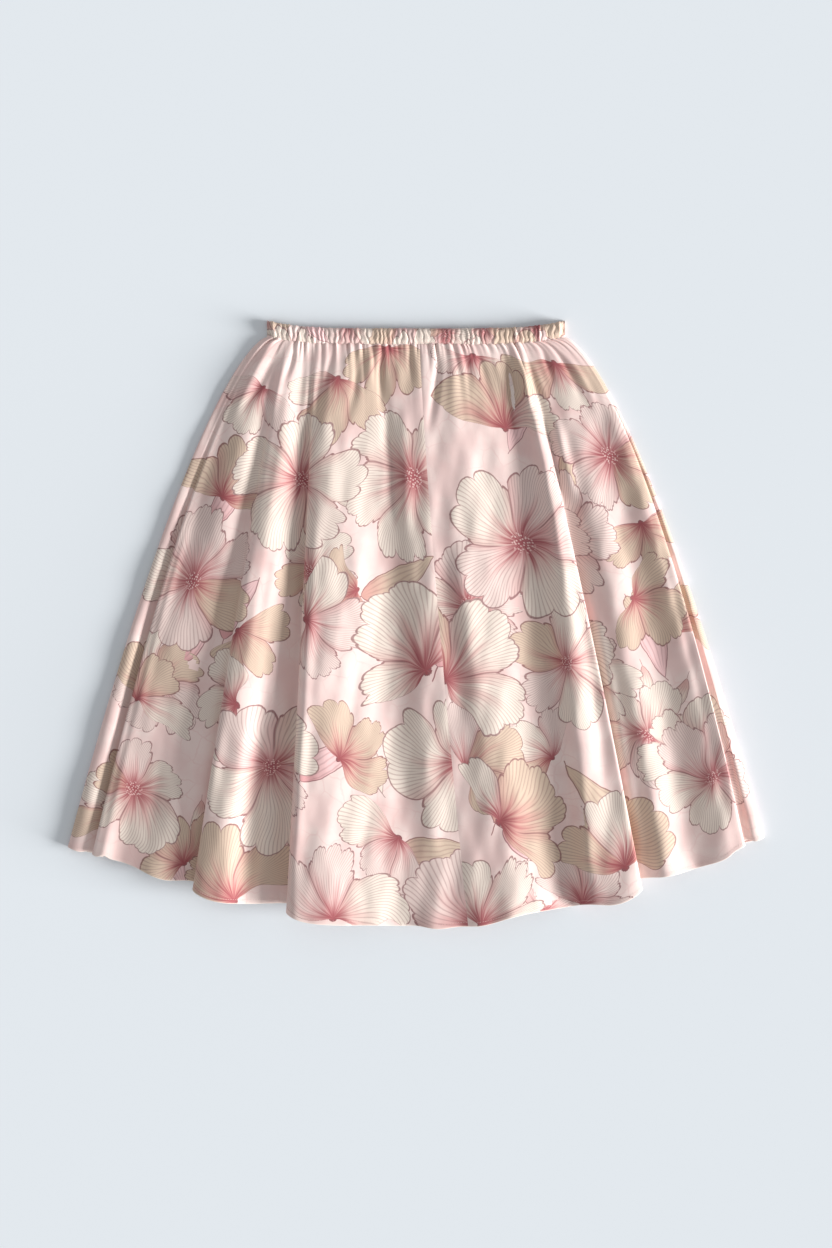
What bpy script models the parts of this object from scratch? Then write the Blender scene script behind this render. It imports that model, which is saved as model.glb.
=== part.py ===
"""A gathered a-line skirt with an elastic waist, laid flat on its back.

X runs across the skirt, +Y points to the waist and +Z up from the surface it lies on. The sizes
are in millimetres. The front is one sheet with a seam down its middle: each row of it is a smooth
curve through control points that the edges and folds in the tables give, from side seam to side
seam. A row is named by t, its share of the way from the waist to the hem.
"""

from collections import namedtuple

import bpy
import numpy as np

MM = 0.001

# Driving sizes.
WAIST_WIDTH = 331.0  # across the relaxed elastic
HEM_WIDTH = 773.0  # across the laid hem, corner to corner
BAND_HEIGHT = 18.0
SEAM_LENGTH = 647.0  # waist seam to hem, down the longest fold
FLARE_BEND = 0.68  # the side outline leaves the waist steeply and straightens to the hem
APEX_ABOVE_WAIST = 468.0  # the side outlines, drawn on, meet here, and the hem is an arc round it
WAIST_END_RISE = 9.0  # the band curls up towards its two ends
WAIST_END_POWER = 5

CLOTH = 1.6  # wall of a panel
HEM_WALL = 2.1  # a turned and stitched edge
GAP = 0.3  # between two pieces at a seam
HEM_DEPTH = 5.5
SLANT = 2.4  # the gap above the hem is this much wider down the skirt, because it crosses laps
CLEAR = 0.05  # below the front sheet where it comes down to the ground
WAIST_LEVEL = 6.9  # middle of the front sheet where it leaves the band
WAIST_HOLD = 0.055  # share of the length over which the waist still lifts the cloth
BACK_HEM_SHORTER = 9.0  # the back's hem stays hidden under the front's
BACK_HEM_BULGE = 15.0  # and follows its longer middle

GATHERS = 34
GATHER_HEIGHT = 2.0
GATHER_FADE = 0.055  # share of the length in which a gather loses most of its height
GATHER_END = (0.06, 0.11)  # share of the length over which the rest of it runs out
GATHER_RISE = 1 / 30  # share of the waist over which the gathers rise from a side seam
GATHER_COLUMNS = 4  # mesh columns in each

PUCKERS = 38
PUCKER_HEIGHT = 1.1
PUCKER_LEAST = 0.8
CALM_PLACE, CALM_WIDTH, CALM_DEPTH = 0.57, 0.07, 0.6  # the smoother stretch near the band's middle
BAND_WALL = 4.2
BAND_UNDER_ROUND = 1.6  # how far in from its edges the casing's underside is flat
BAND_UPPER_ROUND = 2.2
BAND_END_DROP = (7.0, 6.0)  # the front casing comes down this far before its end, over this width
BACK_BAND_SHORTER = 9.0  # at each end

# Waves across the waist that make the gathers and puckers uneven.
Wave = namedtuple("Wave", "size rate start")
GATHER_SHIFTS = [Wave(0.006, 19.0, 0.8), Wave(0.0035, 47.0, 0.0)]
GATHER_STRENGTHS = [Wave(0.22, 23.0, 1.0), Wave(0.12, 71.0, 0.0)]
GATHER_LEAST = 0.78
PUCKER_STRENGTHS = [Wave(0.2, 31.0, 0.0)]

# A line down the skirt: its X at the waist and at the hem, and the power of its path between them.
Line = namedtuple("Line", "at_waist at_hem bend")
OUTER = Line(WAIST_WIDTH / 2, HEM_WIDTH / 2, FLARE_BEND)

# Where two folds meet. lap: how far one fold lies over the other at the hem, + where the right one
# is on top, - where the left one is, 0 for an open valley. laps_from: share of the length where
# the lap begins. mid, low: height of the valley's floor halfway and at the hem. under, over: how
# far the hem reaches past the plain arc below and above the lap.
Edge = namedtuple("Edge", "name line lap laps_from mid low under over")
EDGES = [
    Edge("left_strip", Line(-156.5, -358.5, 0.66), 11.0, 0.25, 5.5, 7.0, 0.0, 1.0),
    Edge("left_hollow", Line(-150.0, -334.0, 0.66), 0.0, 1.00, 12.5, 16.0, -1.0, -1.0),
    Edge("outer_left", Line(-143.0, -246.4, 0.90), 11.0, 0.60, 9.0, 13.0, -1.0, 11.0),
    Edge("inner_left", Line(-113.2, -143.2, 1.15), 13.0, 0.22, 4.5, 5.5, 5.0, 18.0),
    Edge("centre_left", Line(-34.4, -11.1, 0.80), 0.0, 1.00, 10.0, 13.0, 19.0, 19.0),
    Edge("centre_seam", Line(4.4, 57.7, 1.25), 0.0, 1.00, 12.5, 15.0, 21.0, 21.0),
    Edge("inner_right", Line(96.6, 175.4, 0.62), 0.0, 1.00, 4.5, 5.5, 12.0, 12.0),
    Edge("outer_right", Line(112.0, 249.8, 0.82), -12.0, 0.30, 5.0, 6.0, -3.0, 13.0),
    Edge("right_hollow", Line(146.0, 311.0, 0.55), 0.0, 1.00, 8.5, 10.5, 1.0, 1.0),
    Edge("right_strip", Line(157.6, 364.1, 0.60), -9.0, 0.35, 5.0, 6.0, -10.0, -5.0),
]

# The folds between those edges. crest: share of the width where it is highest. mid, low: height
# of its crest halfway and at the hem. reach: how far its hem passes the plain arc.
Fold = namedtuple("Fold", "name crest mid low reach")
FOLDS = [
    Fold("left_side", 0.50, 7.5, 10.0, 3.0),
    Fold("left_flap", 0.45, 14.5, 19.0, -2.0),
    Fold("left_ramp", 0.62, 19.0, 25.0, 4.0),
    Fold("second_left", 0.30, 25.0, 34.0, 13.0),
    Fold("broad_left", 0.30, 25.0, 33.0, 21.0),
    Fold("middle", 0.50, 16.5, 21.0, 22.5),
    Fold("broad_right", 0.38, 20.0, 26.0, 15.0),
    Fold("second_right", 0.62, 23.0, 31.0, 17.0),
    Fold("right_ramp", 0.42, 16.5, 21.0, 0.0),
    Fold("right_flap", 0.66, 15.0, 20.0, -1.0),
    Fold("right_side", 0.50, 7.5, 10.0, -7.0),
]
EARLY_CREST = 0.45  # height of a fold where it starts, as a share of its height halfway

# The front's rolled side, from its seam on the ground to the outline. inset: in shares of the
# tuck. up: in shares of the roll.
SIDE_TUCK = 12.0  # how far the front turns in under itself at the hem's corner
SIDE_ROLL = 8.0
SIDE_AT_WAIST = 0.75  # size of tuck and roll at the waist, as a share of theirs at the hem
SidePoint = namedtuple("SidePoint", "inset up")
SIDE_POINTS = [SidePoint(1.00, 0.00), SidePoint(0.55, 0.01), SidePoint(0.15, 0.15), SidePoint(0.00, 0.51)]

# A lap's points from its under layer to its turned edge. open_across, open_up: place before it
# laps, in shares of the slope outside the line and of the rise. lapped_across, bend_up: place once
# lapped, in shares of the lap inside the line and of the hidden bend. columns: to the next point.
LapPoint = namedtuple("LapPoint", "open_across open_up lapped_across bend_up columns")
LAP_POINTS = [
    LapPoint(1.00, 0.02, 0.55, 0.00, 2),
    LapPoint(0.55, 0.14, 1.00, 0.50, 2),
    LapPoint(0.22, 0.32, 0.55, 1.00, 2),
]
BEND_HEIGHT = 5.4  # the round bend hidden inside a lap
LAP_GROWTH = 0.7  # power by which a lap deepens down the skirt
LAP_CLOSES = 2.5  # it lies closed once 1 in this many of its length is past
LAP_TURN = 9.0  # from a lap's turned edge to its shoulder
LAP_APPROACH = 7.0  # from a lap to where its under layer starts to level out
OPEN_SLOPE = 5.0  # half width of a lap's slope near the waist, where it isn't lapped yet
FLANK_SHARE, FLANK_RISE = 0.35, 0.27  # where an open valley's side passes, of its width and height

FINE_ROWS = [0.0, 0.02, 0.045, 0.075, 0.11]
COARSE_ROWS = [0.15, 0.19, 0.24, 0.30, 0.36, 0.43, 0.50, 0.57, 0.64, 0.71, 0.78, 0.85, 0.92]
BACK_COLUMNS = 18

ARC_RADIUS = APEX_ABOVE_WAIST + SEAM_LENGTH - max(fold.reach for fold in FOLDS)
BAND_FOOT = GAP + 0.1 * CLOTH  # from the waist seam to the casing, clear of the sloping cloth
WAIST_Y = (SEAM_LENGTH - BAND_FOOT - BAND_HEIGHT - WAIST_END_RISE) / 2
PANEL_END = 1 - HEM_DEPTH / SEAM_LENGTH
HEM_START = PANEL_END + SLANT * GAP / SEAM_LENGTH

COLOURS = {
    "blush": (0.84, 0.66, 0.62, 1.0),
    "cream": (0.88, 0.80, 0.72, 1.0),
    "rose": (0.78, 0.55, 0.52, 1.0),
}


def eased(share):
    """0 to 1 with level ends."""
    share = np.clip(share, 0.0, 1.0)
    return share * share * (3 - 2 * share)


def waves(table, share):
    return sum(wave.size * np.sin(wave.rate * share + wave.start) for wave in table)


def waist_rise(x):
    """How much higher than its middle the waist seam lies at x."""
    return WAIST_END_RISE * np.abs(2 * x / WAIST_WIDTH) ** WAIST_END_POWER


def hem_y(x, reach):
    """Y of the hem, an arc round the apex that the sides point to."""
    return WAIST_Y + APEX_ABOVE_WAIST - np.sqrt((ARC_RADIUS + reach) ** 2 - x**2)


def across(t, line):
    return line.at_waist + (line.at_hem - line.at_waist) * t**line.bend


def level(t, start, mid, low):
    """Height of a line: start, mid and low at the waist, halfway and hem, held up by the band."""
    settled = start * (1 - t) * (1 - 2 * t) + mid * 4 * t * (1 - t) + low * t * (2 * t - 1)
    hold = np.exp(-t / WAIST_HOLD)
    return hold * WAIST_LEVEL + (1 - hold) * settled


def point(t, line, height, reach, shift=0.0):
    """A control point at a line, moved across by shift: X, Y and Z."""
    top = WAIST_Y + waist_rise(line.at_waist + shift)
    low = hem_y(line.at_hem + shift, reach)
    return (across(t, line) + shift, top + (low - top) * t, height)


def side_points(t, side, reach):
    line = Line(side * OUTER.at_waist, side * OUTER.at_hem, OUTER.bend)
    size = SIDE_AT_WAIST + (1 - SIDE_AT_WAIST) * t
    ground = CLOTH / 2 + CLEAR
    return [
        (point(t, line, ground + up * SIDE_ROLL * size, reach, -side * inset * SIDE_TUCK * size), 1)
        for inset, up in SIDE_POINTS
    ]


def lap_points(t, edge, floor, top, under_width, over_reach):
    """A fold's edge that lies over its neighbour, from the under layer to the shoulder.

    under_width: of the fold below. over_reach: from the edge to the crest of the fold on top.
    """
    side, rise = np.sign(edge.lap), top - floor
    lapped = max(0.0, (t - edge.laps_from) / (1 - edge.laps_from)) ** LAP_GROWTH
    closed = eased(lapped * LAP_CLOSES)
    opened = eased(1 - t / edge.laps_from)
    slope = min(OPEN_SLOPE, 0.18 * under_width) * (0.15 + 0.85 * opened)
    bend = min(BEND_HEIGHT, 0.5 * rise)
    approach = -side * min(LAP_APPROACH, 0.36 * under_width)
    found = [(point(t, edge.line, floor + 0.05 * rise, edge.under, approach), 1)]
    for place in LAP_POINTS:
        shift = place.lapped_across * abs(edge.lap) * lapped - (1 - closed) * place.open_across * slope
        height = (1 - closed) * place.open_up * rise + closed * place.bend_up * bend
        reach = edge.under + 0.3 * (edge.over - edge.under) * place.bend_up
        found.append((point(t, edge.line, floor + height, reach, side * shift), place.columns))
    turn = (1 - closed) * 0.5 * rise + closed * (bend + 0.45 * (rise - bend))
    found.append((point(t, edge.line, floor + turn, 0.4 * edge.under + 0.6 * edge.over), 2))
    shoulder = side * min(LAP_TURN, 0.55 * over_reach)
    found.append((point(t, edge.line, floor + 0.9 * rise, edge.over, shoulder), 1))
    return found


def valley_points(t, edge, floor, tops, reaches):
    """An open valley: its floor, and a point on each flank. reaches: from it to either crest."""
    flanks = [
        point(t, edge.line, floor + FLANK_RISE * (top - floor), edge.under, side * FLANK_SHARE * reach)
        for side, top, reach in zip((-1, 1), tops, reaches)
    ]
    return [(flanks[0], 1), (point(t, edge.line, floor, edge.under), 1), (flanks[1], 2)]


def control_points(t):
    """The front's row at t: its control points, the mesh columns after each, and the seam's index."""
    tops = [level(t, EARLY_CREST * fold.mid, fold.mid, fold.low) for fold in FOLDS]
    left_outer = Line(-OUTER.at_waist, -OUTER.at_hem, OUTER.bend)
    lines = [left_outer] + [edge.line for edge in EDGES] + [OUTER]
    found = side_points(t, -1, FOLDS[0].reach)
    seam = None
    for i, fold in enumerate(FOLDS):
        left, right = lines[i], lines[i + 1]
        place = Line(*[a + (b - a) * fold.crest for a, b in zip(left, right)])
        _, y, z = point(t, place, tops[i], fold.reach)
        width = across(t, right) - across(t, left)
        found.append(((across(t, left) + width * fold.crest, y, z), 2))
        if i == len(EDGES):
            break
        edge = EDGES[i]
        next_width = across(t, lines[i + 2]) - across(t, right)
        floor = level(t, edge.mid, edge.mid, edge.low)
        reaches = (1 - fold.crest) * width, FOLDS[i + 1].crest * next_width
        if edge.name == "centre_seam":
            seam = len(found) + 1
        if edge.lap > 0:
            found += lap_points(t, edge, floor, tops[i + 1], width, reaches[1])
        elif edge.lap < 0:
            found += lap_points(t, edge, floor, tops[i], next_width, reaches[0])[::-1]
        else:
            found += valley_points(t, edge, floor, tops[i : i + 2], reaches)
    found += reversed(side_points(t, 1, FOLDS[-1].reach))
    points, columns = zip(*found)
    return np.array(points), columns[:-1], seam


def spline(points):
    """(lengths, second derivatives) of the natural cubic spline through points, over their chords."""
    steps = np.linalg.norm(np.diff(points, axis=0), axis=1)
    count = len(points)
    matrix, right = np.eye(count), np.zeros_like(points)
    slopes = np.diff(points, axis=0) / steps[:, None]
    for i in range(1, count - 1):
        matrix[i, i - 1 : i + 2] = steps[i - 1], 2 * (steps[i - 1] + steps[i]), steps[i]
        right[i] = 6 * (slopes[i] - slopes[i - 1])
    return np.concatenate([[0.0], np.cumsum(steps)]), np.linalg.solve(matrix, right)


def on_spline(points, places, shift=0.0):
    """Points of the spline at places, each a control point's index with its share to the next.

    shift: how far along the curve each point then moves.
    """
    lengths, bends = spline(points)
    at = np.interp(places, np.arange(len(points)), lengths) + shift
    k = np.clip(np.searchsorted(lengths, at, side="right") - 1, 0, len(points) - 2)
    step = (lengths[k + 1] - lengths[k])[:, None]
    a = (lengths[k + 1] - at)[:, None] / step
    b = 1 - a
    curved = ((a**3 - a) * bends[k] + (b**3 - b) * bends[k + 1]) * step**2 / 6
    return a * points[k] + b * points[k + 1] + curved


def gather_turns(share):
    """Gathers from the left end of the waist to share of its width, unevenly spaced."""
    uneven = waves(GATHER_SHIFTS, share)
    return GATHERS * (share + uneven - uneven[0] * (1 - share) - uneven[-1] * share)


def gather_columns():
    """Places along the control points that follow the gathers, and how many gathers lie before each."""
    points, _, seam = control_points(0.0)
    last = len(points) - 1
    places = np.linspace(0, last, 40 * len(points))
    x = on_spline(points, places)[:, 0]
    waist = slice(np.argmin(x), np.argmax(x) + 1)
    share = (x[waist] - x.min()) / (x.max() - x.min())
    turns = np.arange(GATHER_COLUMNS * GATHERS + 1) / GATHER_COLUMNS
    found = np.interp(turns, gather_turns(share), places[waist])
    found[np.argmin(np.abs(found - seam))] = seam
    tucked = np.arange(len(SIDE_POINTS) - 1)
    flat = np.zeros(len(tucked))
    return np.concatenate([tucked, found, last - tucked[::-1]]), np.concatenate([flat, turns, flat])


def fold_columns():
    """Places along the control points with the columns that each span asks for."""
    _, columns, _ = control_points(0.5)
    spans = [i + np.arange(count) / count for i, count in enumerate(columns)]
    return np.concatenate(spans + [[len(columns)]])


def gathered(row, turns, t):
    """Raises a row's points by the gathers, which fade down the skirt and towards the side seams."""
    share = turns / GATHERS
    strength = GATHER_LEAST + waves(GATHER_STRENGTHS, share)
    ends = eased(np.minimum(share, 1 - share) / GATHER_RISE)
    starts, stops = GATHER_END
    fade = np.exp(-t / GATHER_FADE) * (1 - eased((t - starts) / (stops - starts)))
    row[:, 2] += GATHER_HEIGHT * strength * ends * fade * np.sin(2 * np.pi * turns)
    return row


def front_row(t, places, seam_shift=0.0, wall=CLOTH):
    """Points of the front's row at t, the one on the seam moved along it by seam_shift."""
    points, _, seam = control_points(t)
    row = on_spline(points, places, seam_shift * (places == seam))
    row[:, 2] = np.maximum(row[:, 2], wall / 2 + CLEAR)
    return row


def of_half(places, seam, left):
    """Which of the places lie on this half of the front."""
    return places <= seam if left else places >= seam


def zipped(upper, lower, first_upper, first_lower):
    """Triangles between two rows with unlike columns, by the columns' places."""
    faces, i, j = [], 0, 0
    while i < len(upper) - 1 or j < len(lower) - 1:
        down = j < len(lower) - 1 and (i == len(upper) - 1 or lower[j + 1] < upper[i + 1])
        a, b = first_upper + i, first_lower + j
        faces.append((a, b, b + 1) if down else (a, b, a + 1))
        i, j = (i, j + 1) if down else (i + 1, j)
    return faces


def grid_faces(columns, rows, first=0):
    """Quads of a grid stored row after row, facing up where rows run towards the hem."""
    return [
        (a, a + columns, a + columns + 1, a + 1)
        for row in range(rows - 1)
        for a in range(first + row * columns, first + row * columns + columns - 1)
    ]


def add_object(name, points, faces, colour, wall=None):
    """A mesh object in metres, made a closed wall of this thickness about its middle."""
    mesh = bpy.data.meshes.new(name)
    mesh.from_pydata((np.asarray(points) * MM).tolist(), [], faces)
    mesh.shade_smooth()
    mesh.materials.append(bpy.data.materials[colour])
    piece = bpy.data.objects.new(name, mesh)
    bpy.data.collections["skirt"].objects.link(piece)
    if wall:
        solid = piece.modifiers.new("wall", "SOLIDIFY")
        solid.thickness = wall * MM
        solid.offset = 0.0
        solid.use_even_offset = False


def add_front_panel(name, left, colour):
    """Half of the front: fine rows of gathers at the waist, then rows that follow the folds."""
    seam = control_points(0.0)[2]
    shift = -GAP / 2 if left else GAP / 2
    fine, turns = gather_columns()
    inside = of_half(fine, seam, left)
    fine, turns = fine[inside], turns[inside]
    coarse = fold_columns()
    coarse = coarse[of_half(coarse, seam, left)]
    lower_rows = COARSE_ROWS + [PANEL_END]
    rows = [gathered(front_row(t, fine, shift), turns, t) for t in FINE_ROWS]
    rows += [front_row(t, coarse, shift) for t in lower_rows]
    first_coarse = len(fine) * len(FINE_ROWS)
    faces = grid_faces(len(fine), len(FINE_ROWS))
    faces += zipped(fine, coarse, first_coarse - len(fine), first_coarse)
    faces += grid_faces(len(coarse), len(lower_rows), first_coarse)
    add_object(name, np.concatenate(rows), faces, colour, CLOTH)


def add_front_hem(name, left, colour):
    """The narrow turned edge below half of the front."""
    seam = control_points(0.0)[2]
    coarse = fold_columns()
    coarse = coarse[of_half(coarse, seam, left)]
    rows = [front_row(t, coarse, -GAP if left else GAP, HEM_WALL) for t in (HEM_START, 1.0)]
    add_object(name, np.concatenate(rows), grid_faces(len(coarse), 2), colour, HEM_WALL)


def back_ends(t):
    """X of the back's left and right edges, just inside the front's tucked-in sides."""
    (left, _, _), *_, (right, _, _) = control_points(t)[0]
    return left + GAP, right - GAP


def back_row(t):
    """A row of the back between the front's side seams, its hem hidden by the front's."""
    share = np.sin(np.linspace(-0.5, 0.5, BACK_COLUMNS + 1) * np.pi)
    x, waist_x = [np.interp(share, (-1, 1), back_ends(row)) for row in (t, 0.0)]
    top = WAIST_Y + waist_rise(waist_x)
    reach = FOLDS[0].reach * (1 - share) / 2 + FOLDS[-1].reach * (1 + share) / 2
    reach += BACK_HEM_BULGE * (1 - share**2) ** 2 - BACK_HEM_SHORTER * (1 - share**8)
    y = top + (hem_y(share * (HEM_WIDTH / 2 - SIDE_TUCK), reach) - top) * t
    return np.column_stack([x, y, np.full_like(x, CLOTH / 2)])


def add_back(colour, hem_colour):
    rows = [back_row(t) for t in FINE_ROWS + COARSE_ROWS + [PANEL_END]]
    columns = BACK_COLUMNS + 1
    add_object("back_panel", np.concatenate(rows), grid_faces(columns, len(rows)), colour, CLOTH)
    hem = [back_row(t) + (0, 0, (HEM_WALL - CLOTH) / 2) for t in (HEM_START, 1.0)]
    add_object("hem_back", np.concatenate(hem), grid_faces(columns, 2), hem_colour, HEM_WALL)


def pucker(turns):
    """Swell of the band's puckers, 0 to 1, smoother near the middle of the front."""
    share = turns / PUCKERS
    calm = 1 - CALM_DEPTH * np.exp(-(((share - CALM_PLACE) / CALM_WIDTH) ** 2))
    return calm * (0.5 - 0.5 * np.cos(2 * np.pi * turns)) * (PUCKER_LEAST + waves(PUCKER_STRENGTHS, share))


def band_section(bottom, swell):
    """A casing's rounded section from its lower edge round: (up the band, height)."""
    top = bottom + BAND_WALL
    low_edge, high_edge = bottom + 0.35 * BAND_WALL, bottom + 0.65 * BAND_WALL
    return [
        (0.0, low_edge),
        (BAND_UNDER_ROUND, bottom),
        (BAND_HEIGHT - BAND_UNDER_ROUND, bottom),
        (BAND_HEIGHT, low_edge),
        (BAND_HEIGHT, high_edge),
        (BAND_HEIGHT - BAND_UPPER_ROUND, top + 0.6 * swell),
        (BAND_HEIGHT / 2, top + swell),
        (BAND_UPPER_ROUND, top + 0.6 * swell),
        (0.0, high_edge),
    ]


def front_band_bottom(x):
    """The front casing lies on the back one and comes down to the ground past its ends."""
    before, over = BAND_END_DROP
    return (BAND_WALL + PUCKER_HEIGHT + GAP) * (1 - eased((abs(x) - WAIST_WIDTH / 2 + before) / over))


def add_band(name, half_width, bottom_at, columns, colour):
    """A puckered elastic casing: sections from end to end, this many to a pucker."""
    turns = np.linspace(0, PUCKERS, PUCKERS * columns + 1)
    rings = []
    for turn, swell in zip(turns, PUCKER_HEIGHT * pucker(turns)):
        x = half_width * (2 * turn / PUCKERS - 1)
        foot = WAIST_Y + BAND_FOOT + waist_rise(x)
        rings.append([(x, foot + along, z) for along, z in band_section(bottom_at(x), swell)])
    size = len(rings[0])
    faces = [
        (a, b, b + size, a + size)
        for first in range(0, size * (len(rings) - 1), size)
        for a, b in zip(range(first, first + size), [*range(first + 1, first + size), first])
    ]
    faces.append(tuple(reversed(range(size))))
    faces.append(tuple(range(size * (len(rings) - 1), size * len(rings))))
    add_object(name, np.concatenate(rings), faces, colour)


def clear_scene():
    for old in list(bpy.data.objects):
        bpy.data.objects.remove(old)
    group = bpy.data.collections.new("skirt")
    bpy.context.scene.collection.children.link(group)


def add_materials():
    for name, colour in COLOURS.items():
        material = bpy.data.materials.new(name)
        material.use_nodes = True
        shader = material.node_tree.nodes["Principled BSDF"]
        shader.inputs["Base Color"].default_value = colour
        shader.inputs["Roughness"].default_value = 0.75
        shader.inputs["Metallic"].default_value = 0.0


def main():
    clear_scene()
    add_materials()
    add_back("blush", "cream")
    add_front_panel("front_left_panel", True, "blush")
    add_front_panel("front_right_panel", False, "blush")
    add_front_hem("hem_front_left", True, "cream")
    add_front_hem("hem_front_right", False, "cream")
    add_band("waistband_front", WAIST_WIDTH / 2, front_band_bottom, 3, "rose")
    add_band("waistband_back", WAIST_WIDTH / 2 - BACK_BAND_SHORTER, lambda x: 0.0, 2, "rose")


main()
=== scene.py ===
"""The looks of the gathered a-line skirt that lies flat on a pale surface.

X runs across the skirt, +Y points to the waist and +Z up. The form repeats the part's own sizes and
tables, in millimetres, so each piece lies on its solid: a row of the front is a smooth curve through
control points from side seam to side seam, named by t, its share of the way from waist to hem. The
creases, gathers and puckers here are finer than the solids'.
"""

from collections import namedtuple
from types import SimpleNamespace

import bpy
import numpy as np
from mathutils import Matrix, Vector


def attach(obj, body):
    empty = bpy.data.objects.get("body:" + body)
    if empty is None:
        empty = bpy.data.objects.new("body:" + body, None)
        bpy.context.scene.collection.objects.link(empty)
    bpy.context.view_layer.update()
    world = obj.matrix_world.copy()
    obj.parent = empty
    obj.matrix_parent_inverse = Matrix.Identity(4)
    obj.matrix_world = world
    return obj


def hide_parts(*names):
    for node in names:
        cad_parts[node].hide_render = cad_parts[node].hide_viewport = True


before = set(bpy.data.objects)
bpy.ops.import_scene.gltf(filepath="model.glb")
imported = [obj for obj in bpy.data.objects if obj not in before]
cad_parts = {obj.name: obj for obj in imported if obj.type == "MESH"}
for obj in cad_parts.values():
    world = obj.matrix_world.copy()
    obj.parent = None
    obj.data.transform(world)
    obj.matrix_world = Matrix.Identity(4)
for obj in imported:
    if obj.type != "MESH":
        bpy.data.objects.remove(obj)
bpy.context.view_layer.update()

MM = 0.001
TURN = 2 * np.pi

# ---- sizes of the skirt, as in the part ----
WAIST_WIDTH = 331.0  # across the relaxed elastic
HEM_WIDTH = 773.0  # across the laid hem, corner to corner
BAND_HEIGHT = 18.0
SEAM_LENGTH = 647.0  # waist seam to hem, down the longest fold
FLARE_BEND = 0.68  # the side outline leaves the waist steeply and straightens to the hem
APEX_ABOVE_WAIST = 468.0  # the side outlines, drawn on, meet here, and the hem is an arc round it
WAIST_END_RISE, WAIST_END_POWER = 9.0, 5  # the band curls up towards its two ends
GAP = 0.3  # between two pieces at a seam
HEM_DEPTH = 5.5
WAIST_LEVEL = 6.9  # middle of the front's cloth where it leaves the band
WAIST_HOLD = 0.055  # share of the length over which the waist still lifts the cloth
BACK_HEM_SHORTER, BACK_HEM_POWER = 9.0, 8  # the back's hem stays hidden under the front's
BACK_HEM_BULGE = 15.0  # and follows its longer middle
GATHERS = 34
CALM_PLACE, CALM_WIDTH, CALM_DEPTH = 0.57, 0.07, 0.6  # the smoother stretch near the band's middle
BAND_WALL = 4.2
BAND_SWELL = 1.1  # height of the part's puckers, which the front casing lies on
BAND_END_DROP = (7.0, 6.0)  # the front casing comes down this far before its end, over this width
BACK_BAND_SHORTER = 9.0  # at each end

Wave = namedtuple("Wave", "size rate start")
GATHER_SHIFTS = [Wave(0.006, 19.0, 0.8), Wave(0.0035, 47.0, 0.0)]

Line = namedtuple("Line", "at_waist at_hem bend")
OUTER = Line(WAIST_WIDTH / 2, HEM_WIDTH / 2, FLARE_BEND)

# Where two folds meet: lap is how far one lies over the other at the hem, + where the right one is
# on top, - where the left one is, 0 for an open valley.
Edge = namedtuple("Edge", "name line lap laps_from mid low under over")
EDGES = [
    Edge("left_strip", Line(-156.5, -358.5, 0.66), 11.0, 0.25, 5.5, 7.0, 0.0, 1.0),
    Edge("left_hollow", Line(-150.0, -334.0, 0.66), 0.0, 1.00, 12.5, 16.0, -1.0, -1.0),
    Edge("outer_left", Line(-143.0, -246.4, 0.90), 11.0, 0.60, 9.0, 13.0, -1.0, 11.0),
    Edge("inner_left", Line(-113.2, -143.2, 1.15), 13.0, 0.22, 4.5, 5.5, 5.0, 18.0),
    Edge("centre_left", Line(-34.4, -11.1, 0.80), 0.0, 1.00, 10.0, 13.0, 19.0, 19.0),
    Edge("centre_seam", Line(4.4, 57.7, 1.25), 0.0, 1.00, 12.5, 15.0, 21.0, 21.0),
    Edge("inner_right", Line(96.6, 175.4, 0.62), 0.0, 1.00, 4.5, 5.5, 12.0, 12.0),
    Edge("outer_right", Line(112.0, 249.8, 0.82), -12.0, 0.30, 5.0, 6.0, -3.0, 13.0),
    Edge("right_hollow", Line(146.0, 311.0, 0.55), 0.0, 1.00, 8.5, 10.5, 1.0, 1.0),
    Edge("right_strip", Line(157.6, 364.1, 0.60), -9.0, 0.35, 5.0, 6.0, -10.0, -5.0),
]
Fold = namedtuple("Fold", "name crest mid low reach")
FOLDS = [
    Fold("left_side", 0.50, 7.5, 10.0, 3.0),
    Fold("left_flap", 0.45, 14.5, 19.0, -2.0),
    Fold("left_ramp", 0.62, 19.0, 25.0, 4.0),
    Fold("second_left", 0.30, 25.0, 34.0, 13.0),
    Fold("broad_left", 0.30, 25.0, 33.0, 21.0),
    Fold("middle", 0.50, 16.5, 21.0, 22.5),
    Fold("broad_right", 0.38, 20.0, 26.0, 15.0),
    Fold("second_right", 0.62, 23.0, 31.0, 17.0),
    Fold("right_ramp", 0.42, 16.5, 21.0, 0.0),
    Fold("right_flap", 0.66, 15.0, 20.0, -1.0),
    Fold("right_side", 0.50, 7.5, 10.0, -7.0),
]
EARLY_CREST = 0.45  # height of a fold where it starts, as a share of its height halfway
SIDE_TUCK = 12.0  # how far the front turns in under itself at the hem's corner
SIDE_ROLL = 8.0
SIDE_AT_WAIST = 0.75  # size of tuck and roll at the waist, as a share of theirs at the hem
SidePoint = namedtuple("SidePoint", "inset up")
SIDE_POINTS = [SidePoint(1.00, 0.00), SidePoint(0.55, 0.01), SidePoint(0.15, 0.15), SidePoint(0.00, 0.51)]
LapPoint = namedtuple("LapPoint", "open_across open_up lapped_across bend_up")
LAP_POINTS = [
    LapPoint(1.00, 0.02, 0.55, 0.00),
    LapPoint(0.55, 0.14, 1.00, 0.50),
    LapPoint(0.22, 0.32, 0.55, 1.00),
]
BEND_HEIGHT = 5.4  # the round bend hidden inside a lap
LAP_GROWTH = 0.7  # power by which a lap deepens down the skirt
LAP_CLOSES = 2.5  # it lies closed once 1 in this many of its length is past
LAP_TURN = 9.0  # from a lap's turned edge to its shoulder
LAP_APPROACH = 7.0  # from a lap to where its under layer starts to level out
OPEN_SLOPE = 5.0  # half width of a lap's slope near the waist, where it isn't lapped yet
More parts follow.
